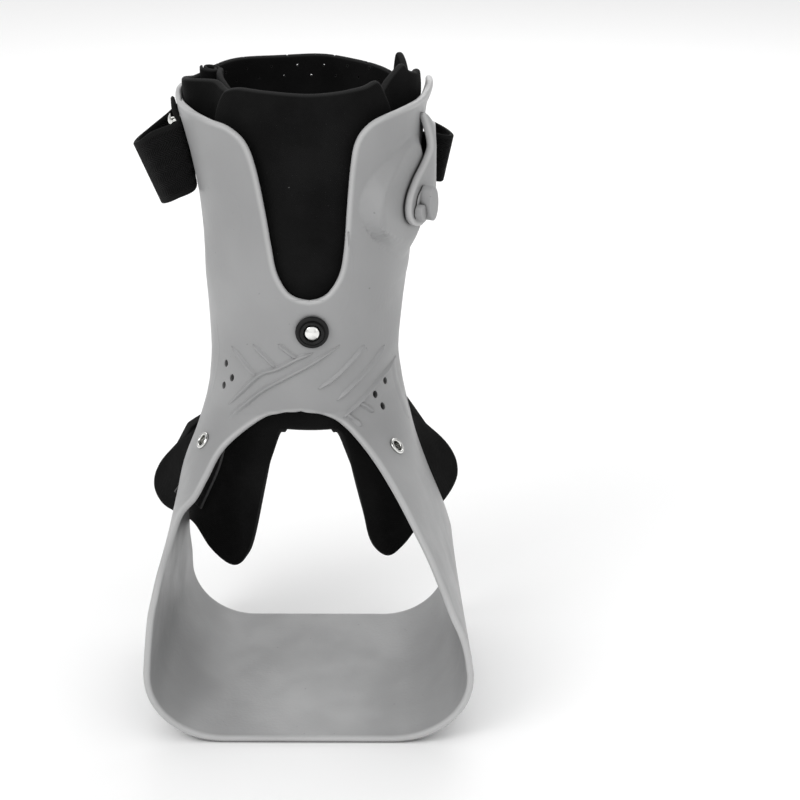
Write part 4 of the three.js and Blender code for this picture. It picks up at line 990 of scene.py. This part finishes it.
# Columns of the top line: turn from the front, height share.
MAIN_TOP = [(-0.68, 0.79), (-0.40, 0.79), (-0.345, 0.83), (-0.315, 0.90), (-0.285, 0.965), (-0.253, 0.9995),
            (-0.23, 1.008), (-0.205, 1.012), (-0.174, 1.0138), (-0.10, 1.0125), (0, 1.0100), (0.09, 1.0115),
            (0.15, 1.0140), (0.19, 1.0165), (0.222, 1.0215), (0.240, 1.018), (0.262, 0.998), (0.29, 0.965),
            (0.315, 0.90), (0.345, 0.83), (0.40, 0.79), (0.68, 0.79)]
INNER = LEFT_LOBE[0, 0]


def main_spread(t, z):
    """The ripple of the panel, which fades out towards the lobes."""
    return 0.35 * ripple(t, z) * soft_step(z, FOOT, FOOT + 0.1)


outer = INNER + (REAR_TURN - INNER) * np.concatenate([np.linspace(0, 0.985, 105), [0.991, 0.995, 0.9985, 1]])
turns = np.concatenate([-outer[::-1], np.linspace(-INNER, INNER, 34)[1:-1], outer])
main_grids = [tube_grid(turns, top_line(MAIN_TOP, turns), FOOT, 118, main_spread, True),
              lobe_grid(-1, outer[::-1], 74), lobe_grid(1, outer, 74)]
main_grids[1][..., 3] = np.broadcast_to(-outer[::-1] * HALF_ROUND, main_grids[1].shape[:2])
main, main_area = soft_piece("liner_main", main_grids, [False] * 3, "liner", 1.5, 1.3)

# %% [markdown]
# ## The collar wings
# Two separate wings line the top of the tube from inside. They pass behind the
# front panel, rise out of the shell and flare a little outward. The right one
# climbs to a point and ends in a narrow tab; the left one ends in a roll. A roll
# is a spiral in plan: the radius shrinks steadily while the angle grows.

# %% Wings, roll and fold
def wing_spread(flare, start, end):
    """Inside the panel in front, on the tube behind, flared outward near the top."""
    def spread(t, z):
        t = np.abs(t)
        inside = np.maximum(1 - soft_step(t, 0.30, 0.42), 1 - soft_step(z, 0.80, 0.87))
        lift = flare * soft_step(z, 0.86, 1.0) * soft_step(t, start, start + 0.1)
        lift = lift * (1 - soft_step(t, end - 0.1, end))
        return -3.3 * inside + lift * (1 - inside) + 0.5 * ripple(t, z)
    return spread


# Columns of the wings' top lines: turn from the front, height share.
LEFT_TOP = [(0.185, 0.86), (0.205, 0.95), (0.225, 0.985), (0.25, 0.998), (0.29, 1.004), (0.325, 1.0114),
            (0.37, 1.0105), (0.414, 1.007), (0.46, 1.003), (0.496, 0.9986), (0.537, 0.994), (0.58, 0.990),
            (0.62, 0.992), (0.68, 0.975)]
RIGHT_TOP = [(0.185, 0.86), (0.205, 0.95), (0.235, 0.985), (0.275, 0.9976), (0.325, 1.0186), (0.371, 1.034),
             (0.395, 1.022), (0.425, 1.016), (0.455, 1.0157), (0.474, 0.990), (0.50, 0.968), (0.55, 0.965),
             (0.59, 0.985), (0.612, 1.010), (0.640, 1.0235), (0.660, 1.018), (0.68, 0.985)]
WING_FOOT = 0.60
wing_turns = edged(0.185, REAR_TURN, 120)
left_wing = tube_grid(-wing_turns, top_line(LEFT_TOP, wing_turns), WING_FOOT, 110,
                      wing_spread(4.4, 0.30, 0.66))
right_wing = tube_grid(wing_turns, top_line(RIGHT_TOP, wing_turns), WING_FOOT, 110,
                       wing_spread(2.4, 0.36, 0.60))
for name, grid, flip in (("wing_left", left_wing, True), ("wing_right", right_wing, False)):
    piece, area = soft_piece(name, [grid], [flip], None, 1.4, 1.2)


def plan_sheet(name, path, low, high, half, radius):
    """A path seen from above, raised from its low line to its high line."""
    path, low, high = (np.asarray(v, float) for v in (path, low, high))
    s = np.linspace(0, len(path) - 1, 160)
    plan, z0, z1 = through(path, s), np.interp(s, range(len(low)), low), through(high[:, None], s)[:, 0]
    run = np.concatenate([[0], np.cumsum(np.linalg.norm(np.diff(plan, axis=0), axis=1))])
    keep = edged(0, run[-1], 130)
    plan = np.stack([np.interp(keep, run, plan[:, k]) for k in range(2)], 1)
    z0, z1 = np.interp(keep, run, z0), np.interp(keep, run, z1)
    e = edged(0, 1, 30, 0.05)[:, None]
    z = z0 + (z1 - z0) * e
    p = np.stack([np.broadcast_to(plan[:, 0], z.shape), np.broadcast_to(plan[:, 1], z.shape), z], -1)
    piece, area = soft_piece(name, [with_cloth(p, keep, z)], [False], None, half, radius)


turn_by = np.linspace(0.3, 3.4 * np.pi, 26)
shrink = 3.5 - 2.2 * np.linspace(0, 1, 26)
spiral = np.stack([-35.2 + shrink * 1.05 * np.cos(turn_by + 2.6), 56.0 + shrink * np.sin(turn_by + 2.6)], 1)
plan_sheet("wing_roll", spiral, np.full(26, 193.0), 210.6 + 0.5 * np.cos(turn_by), 0.55, 0.5)
plan_sheet("wing_fold", [(-31.6, 52.0), (-31.4, 45.5), (-28.8, 39.0), (-24.6, 33.0), (-20.5, 28.5)],
           [193] * 5, [211.2, 210.6, 208.4, 204.6, 199.0], 1.0, 0.8)
print("wings ready")

# %% [markdown]
# ## The perforated back band
# Behind the leg a thinner, stretchy band closes the tube. Two rows of small punched
# holes near its upper edge let the skin breathe, and the rim has a few nicks. The
# holes are real: one boolean takes all the little pins away together.

# %% Back band
# Height shares of the band, the turns where it starts left and right, and its offset in mm.
BAND_FOOT, BAND_TOP, BAND_LEFT, BAND_RIGHT = 0.705, 0.996, 0.50, 0.60
BAND_SPREAD = 3.4
BAND_RIM = [0.968, 0.990, 0.999, 1.001, 1.0, 0.998, 0.991, 0.975, 0.950]     # height shares, left to right
BAND_HOLES, HOLE_STEP = 9, 0.085      # holes in the upper row, spacing as a share of the band's run


def band_point(s, z):
    """The band's middle surface: s from the left end to the right end, round the back."""
    t = BAND_LEFT + (2 - BAND_LEFT - BAND_RIGHT) * s
    left = t <= 1
    return round_leg(np.where(left, -1.0, 1.0), np.where(left, t, 2 - t), z, BAND_SPREAD)


s = edged(0, 1, 150)
band_top = through(np.array(BAND_RIM)[:, None], s * 8)[:, 0]
band_top = band_top + 0.0012 * np.sin(23 * s + 1)
z = BAND_FOOT + (band_top - BAND_FOOT) * edged(0, 1, 60)[:, None]
ss = np.broadcast_to(s, z.shape)
band_grid = with_cloth(band_point(ss, z), ss * 109, z * HEIGHT)
band, band_area = soft_piece("back_band", [band_grid], [False], "liner_back_band", 1.3, 1.1)


def band_pins():
    """Two staggered rows of pins through the band, near its upper edge."""
    bodies = []
    for row in range(2):
        count = BAND_HOLES - row
        at = 0.5 + (np.arange(count) - (count - 1) / 2) * HOLE_STEP
        zz = np.full(count, BAND_TOP - (3.0 + row * 3.7) / HEIGHT)
        p = band_point(at, zz)
        out = np.cross(band_point(at + 0.01, zz) - band_point(at - 0.01, zz), UP)
        bodies += [pin(frame_at(c, -o), 0.42, -3, 3, 10) for c, o in zip(p, out)]
    return bodies


def rim_nicks():
    """Small nicks in the upper rim, at shares of the band's run."""
    at = np.array([0.115, 0.229, 0.328, 0.47, 0.62, 0.74])
    p = band_point(at, np.interp(at, s, band_top) + 0.003)
    out = np.cross(band_point(at + 0.01, at * 0 + 0.9) - band_point(at - 0.01, at * 0 + 0.9), UP)
    return [pin(frame_at(c, -o), 0.7, -3, 3, 12, wide=0.8, tall=1.6) for c, o in zip(p, out)]


cut(band, band_pins() + rim_nicks())
print("band faces:", len(band.data.polygons))

# %% [markdown]
# ## The webbing strap
# The strap is riveted to the left wing, leaves it forward, folds back on itself in
# a wide loop, runs round behind the leg and passes the lever's slot before its
# free end lies back. A strap keeps its width, so the surface is a path with a
# straight line across it; a lean column tips that line, and a width share narrows
# it where it bunches in the slot.

# %% Strap
# Columns: x, y, z shares of the middle line, lean to x and y, width share.
STRAP_PATH = np.array([
    [-0.905, 0.715, 0.864, -0.34, 0.00, 1.00],
    [-0.975, 0.745, 0.852, -0.40, 0.00, 0.96],
    [-1.025, 0.850, 0.843, -0.42, 0.00, 0.94],
    [-1.018, 1.000, 0.844, -0.42, 0.00, 0.94],
    [-0.970, 1.115, 0.852, -0.36, 0.02, 0.94],
    [-0.890, 1.250, 0.866, -0.24, 0.04, 0.96],
    [-0.790, 1.410, 0.884, -0.12, 0.06, 1.00],
    [-0.640, 1.590, 0.886, -0.06, 0.08, 1.00],
    [-0.360, 1.780, 0.886, -0.02, 0.08, 1.00],
    [0.000, 1.850, 0.886, 0.00, 0.08, 1.00],
    [0.350, 1.770, 0.880, 0.02, 0.08, 0.96],
    [0.570, 1.580, 0.872, 0.06, 0.08, 0.88],
])

# Where it passes the slot: along the plate past the slot, out of it and up, in lever radii,
# then lean and width share as above.
STRAP_PASS = np.array([
    [1.383, -0.547, -0.030, 0.10, 0.04, 0.78],
    [0.562, -0.443, -0.060, 0.08, 0.00, 0.70],
    [0.151, -0.233, -0.090, 0.06, 0.00, 0.68],
    [-0.002, 0.212, -0.110, 0.08, 0.00, 0.68],
    [-0.177, 0.566, -0.140, 0.14, 0.00, 0.68],
    [-0.060, 0.760, -0.170, 0.20, 0.00, 0.68],
    [0.360, 0.790, -0.180, 0.22, 0.00, 0.68],
    [1.055, 0.540, -0.150, 0.18, 0.02, 0.70],
    [1.712, 0.029, -0.110, 0.14, 0.04, 0.76],
])
STRAP_WIDTH = 25.0


def strap_rows():
    """The riveted end on the wing, then the free path."""
    rows = []
    for y, z in ((0.960, 0.912), (0.830, 0.898), (0.740, 0.882)):
        p, n, _, _ = wing_spot(y, z)
        p = p + n * (WALL / 2 + 0.3 + 0.75 + 0.7)
        wide = UP - n * n[2]
        rows.append([*(p / SCALE), wide[0] / wide[2], wide[1] / wide[2], 1])
    at = STRAP_PASS + [SLOT_AT, 0, SLOT_MID, 0, 0, 0]
    p = lever_point(at[:, 0], at[:, 2], at[:, 1] * LEVER_RADIUS)
    return np.concatenate([np.array(rows), STRAP_PATH, np.column_stack([p / SCALE, at[:, 3:]])])


rows = strap_rows()
fine = through(rows, np.linspace(0, len(rows) - 1, 420))
middle = fine[:, :3] * SCALE
wide = np.column_stack([fine[:, 3:5], np.ones(len(fine))])
wide /= np.linalg.norm(wide, axis=1)[:, None]
run = np.concatenate([[0], np.cumsum(np.linalg.norm(np.diff(middle, axis=0), axis=1))])
w = edged(-0.5, 0.5, 24, 0.03)
strap_grid = middle[:, None] + wide[:, None] * (w[None, :, None] * (fine[:, 5] * STRAP_WIDTH)[:, None, None])
strap_uv = np.stack(np.broadcast_arrays(run[:, None], w * STRAP_WIDTH), -1)
strap, strap_area = soft_piece("strap_webbing", [np.concatenate([strap_grid, strap_uv], -1)], [True], "strap",
                               0.75, 0.6)
cut(strap, [pin(rivet_spot, 1.9, 0, 8)])
print("strap length:", round(run[-1], 1), "mm")

# %% [markdown]
# ## The hook patch
# A square of hook tape is sewn to the outside of the left lobe; it grips the
# strap or a sock. It repeats the lobe's own surface a little further out, so it
# follows every bend without any fitting.

# %% Hook patch
PATCH_FROM, PATCH_COLUMNS = 6.8, 2.0       # first column of the lobe table and how many it covers


def patch_grid():
    """The part of the left lobe between two columns and two shares of its run."""
    at = edged(PATCH_FROM, PATCH_FROM + PATCH_COLUMNS, 40, 0.03)
    turns = np.interp(at, np.arange(len(LEFT_LOBE)), LEFT_LOBE[:, 0])
    low = lobe_grid(-1, turns, 200)
    v = np.linspace(1, 0, len(low))
    return low[(v > 0.08) & (v < 0.82)]


patch_points, patch_faces = weld([patch_grid()], [False])
patch_skin, patch_walls, patch_rim = walls(patch_points[:, :3], patch_faces, 1.55, 2.6, 0.4)
patch_uv = np.concatenate([patch_points[:, 3:5]] * 2)
finish_piece("hook_square", (patch_skin, patch_walls), "hook_patch", rim=patch_rim, uv=patch_uv)
print("patch triangles:", len(patch_walls))

# %% [markdown]
# ## Finishes as small node trees
# Every finish is a Principled shader fed by a few procedural patterns. What is the
# same all over, such as roughness of the rubber or the metal's metallic value, is
# set straight on the shader. What varies, such as tone and fine relief, comes from
# noise on Object coordinates, or from the cloth coordinates of the soft pieces,
# which are in millimetres, so a thread count can be written as a number.

# %% Node helpers
class Look:
    """A material with a Principled shader and short ways to add and join nodes."""

    def __init__(self, name, **values):
        self.material = bpy.data.materials.new(name)
        self.material.use_nodes = True
        self.tree = self.material.node_tree
        self.shader = self.tree.nodes["Principled BSDF"]
        for key, value in values.items():
            self.shader.inputs[key.replace("_", " ").title().replace("Ior", "IOR")].default_value = value

    def add(self, kind, inputs=(), out=0, **props):
        """A node with its settings and inputs; an input is a number or another node's output."""
        node = self.tree.nodes.new("ShaderNode" + kind)
        for key, value in props.items():
            setattr(node, key, value)
        for key, value in dict(inputs).items():
            if isinstance(value, bpy.types.NodeSocket):
                self.tree.links.new(value, node.inputs[key])
            else:
                node.inputs[key].default_value = value
        return node.outputs[out]

    def math(self, operation, a, b=0.0, c=0.0):
        return self.add("Math", {0: a, 1: b, 2: c}, operation=operation)

    def times(self, a, b):
        return self.math("MULTIPLY", a, b)

    def plus(self, a, b):
        return self.math("ADD", a, b)

    def rim(self):
        """The distance to the nearest rim in mm, as the wall function kept it."""
        return self.add("Attribute", out=2, attribute_name="rim")

    def ramp(self, value, low, high, to_low=0.0, to_high=1.0):
        """Maps low..high to the new range, clamped, with a smooth step."""
        return self.add("MapRange", {"Value": value, "From Min": low, "From Max": high, "To Min": to_low,
                                     "To Max": to_high}, interpolation_type="SMOOTHSTEP")

    def tone(self, share, dark, light):
        """A colour between two greys or colours, by share."""
        dark, light = ((v, v, v) if isinstance(v, float) else v for v in (dark, light))
        return self.add("Mix", {0: share, 6: (*dark, 1), 7: (*light, 1)}, out=2, data_type="RGBA")

    def blend(self, share, a, b):
        """A colour between two colour outputs, by share."""
        return self.add("Mix", {0: share, 6: a, 7: b}, out=2, data_type="RGBA")

    def noise(self, scale, detail=2.0, rough=0.5):
        place = self.add("TexCoord", out=3)
        return self.add("TexNoise", {"Vector": place, "Scale": scale, "Detail": detail, "Roughness": rough})

    def cloth(self):
        """The two cloth coordinates, in millimetres."""
        split = self.tree.nodes.new("ShaderNodeSeparateXYZ")
        self.tree.links.new(self.add("TexCoord", out=2), split.inputs[0])
        return split.outputs[0], split.outputs[1]

    def relief(self, height, depth):
        """Fine relief: depth is the height of the pattern in metres."""
        self.join(self.add("Bump", {"Height": height, "Distance": depth, "Strength": 1.0}), "Normal")

    def crevice(self, reach):
        """How open a spot is by ambient occlusion, 0 deep in a recess to 1 in the open, within reach in
        metres; it paints shade into colour.
        """
        return self.add("AmbientOcclusion", {"Distance": reach}, out=1, samples=8)

    def join(self, socket, name):
        self.tree.links.new(socket, self.shader.inputs[name])


def dress(look, *names):
    """Gives the finish to the named pieces."""
    for name in names:
        slots = bpy.data.objects[name].data.materials
        slots.clear()
        slots.append(look.material)


# %% [markdown]
# ## Satin grey plastic
# Polypropylene sheet has a soft sheen, a tone that drifts a little across a
# moulding, a few dark specks and a very fine orange peel. The rim distance that
# the wall function kept tells the shader where the edge is, and a painted
# highlight makes the colour paler along the rims. Painted shade darkens the
# colour in grooves, where little light gets in.

# %% Plastic
plastic = Look("satin_plastic", specular_ior_level=0.45)
drift = plastic.ramp(plastic.noise(16.0, 3.0), 0.35, 0.68)
body = plastic.tone(drift, (0.272, 0.273, 0.275), (0.318, 0.319, 0.321))
# painted highlight: the colour turns paler within about 2 mm of a rim
edge = plastic.ramp(plastic.rim(), 0.4, 1.9, 1.0, 0.0)
body = plastic.blend(plastic.times(edge, 0.75), body, plastic.tone(drift, 0.44, 0.50))
specks = plastic.ramp(plastic.noise(650.0, 1.0), 0.785, 0.82)
body = plastic.blend(plastic.times(specks, 0.4), body, plastic.tone(0.5, 0.06, 0.10))
# painted shade: the colour turns nearly black in grooves, holes and gaps, by ambient occlusion
groove_shade = plastic.ramp(plastic.crevice(0.0035), 0.15, 0.85, 0.85, 0.0)
body = plastic.blend(groove_shade, body, plastic.tone(0.5, 0.02, 0.03))
plastic.join(body, "Base Color")
plastic.join(plastic.ramp(plastic.noise(55.0, 4.0, 0.6), 0.3, 0.7, 0.36, 0.50), "Roughness")
plastic.relief(plastic.plus(plastic.noise(900.0, 2.0), plastic.times(plastic.noise(120.0), 1.6)), 0.00006)
dress(plastic, "shell_wall", "shell_lines", "lever_plate", "button_cap")

# %% [markdown]
# ## Rubber and bright metal
# The valve collar is matt rubber with a faint bloom. Plug, eyelets and rivet are
# nickel plated: a mirror with a slightly uneven tone and fine waves, both from noise.

# %% Rubber and metal
rubber = Look("matt_rubber", roughness=0.5, specular_ior_level=0.25)
rubber.join(rubber.tone(rubber.ramp(rubber.noise(220.0, 3.0), 0.3, 0.7), 0.004, 0.009), "Base Color")
rubber.relief(rubber.noise(1500.0, 2.0), 0.00005)
dress(rubber, "collar_ring")
metal = Look("bright_nickel", metallic=1.0)
hair = metal.ramp(metal.noise(300.0, 3.0), 0.3, 0.7)
metal.join(metal.tone(hair, (0.62, 0.62, 0.60), (0.86, 0.86, 0.84)), "Base Color")
metal.join(metal.ramp(metal.noise(700.0, 3.0), 0.3, 0.75, 0.10, 0.24), "Roughness")
metal.relief(metal.noise(260.0, 1.0), 0.00012)
dress(metal, "valve_plug", "eyelet_left_ring", "eyelet_right_ring", "rivet_head")

# %% [markdown]
# ## Foam cloth
# The liner is neoprene foam faced with a fine jersey. The jersey is two sine waves
# multiplied, a knit of about one stitch per 0.9 mm, under a soft noise for the
# foam's own unevenness. Sparse lint sits on it, and sheen gives the dusty edge that
# dark knits show. Cut rims show the smoother, greyer foam.

# %% Foam cloth
foam = Look("foam_cloth", roughness=0.95, specular_ior_level=0.06, sheen_weight=0.04, sheen_roughness=0.5)
u, v = foam.cloth()
stitch = foam.times(foam.math("SINE", foam.times(u, 7.0)), foam.math("SINE", foam.times(v, 7.0)))
tone = foam.tone(foam.ramp(foam.noise(45.0, 4.0, 0.6), 0.3, 0.7), 0.0042, 0.0078)
tone = foam.blend(foam.ramp(foam.rim(), 0.2, 1.0, 0.5, 0.0), tone, foam.tone(0.5, 0.03, 0.04))
lint = foam.ramp(foam.noise(620.0, 1.0), 0.80, 0.83)
foam.join(foam.blend(foam.times(lint, 0.5), tone, foam.tone(0.5, 0.10, 0.16)), "Base Color")
foam.relief(foam.plus(foam.times(stitch, 0.2), foam.times(foam.noise(160.0, 3.0), 2.2)), 0.00018)
dress(foam, "liner_main", "wing_left", "wing_right", "wing_roll", "wing_fold", "back_band")

# %% [markdown]
# ## Webbing and hook tape
# Webbing is a herringbone: the twill phase runs along the strap and turns back
# every few millimetres across it, so the phase adds the run to a folded width. The
# two selvedges are plain and a little raised. Hook tape is rows of tiny stiff loops,
# which a cell pattern on the cloth coordinates gives.

# %% Webbing and hook tape
webbing = Look("woven_webbing", roughness=0.85, specular_ior_level=0.08, sheen_weight=0.03,
               sheen_roughness=0.45)
u, v = webbing.cloth()
across = webbing.math("ABSOLUTE", v)
phase = webbing.plus(u, webbing.math("PINGPONG", v, 2.4))
twill = webbing.math("SINE", webbing.times(phase, 6.5))
selvedge = webbing.ramp(across, 10.4, 11.2)
plain = webbing.math("SUBTRACT", 1.0, selvedge)
weave = webbing.plus(webbing.times(twill, plain), webbing.times(selvedge, 1.4))
tone = webbing.tone(webbing.ramp(twill, -1.0, 1.0), 0.0030, 0.0075)
webbing.join(webbing.blend(webbing.times(selvedge, 0.5), tone, webbing.tone(0.5, 0.008, 0.012)), "Base Color")
webbing.relief(webbing.plus(weave, webbing.noise(900.0, 2.0)), 0.00013)
dress(webbing, "strap_webbing")
hooks = Look("hook_fabric", roughness=0.9, specular_ior_level=0.2)
place = hooks.add("TexCoord", out=2)
cells = hooks.add("TexVoronoi", {"Vector": place, "Scale": 1.25, "Randomness": 0.25})
patch_edge = hooks.ramp(hooks.rim(), 0.15, 0.6, 0.8, 0.0)
loops = hooks.tone(hooks.ramp(cells, 0.1, 0.6), 0.020, 0.006)
hooks.join(hooks.blend(patch_edge, loops, hooks.tone(0.5, 0.10, 0.14)), "Base Color")
hooks.relief(hooks.math("SUBTRACT", 1.0, cells), 0.00035)
dress(hooks, "hook_square")
print("finishes:", [m.name for m in bpy.data.materials])
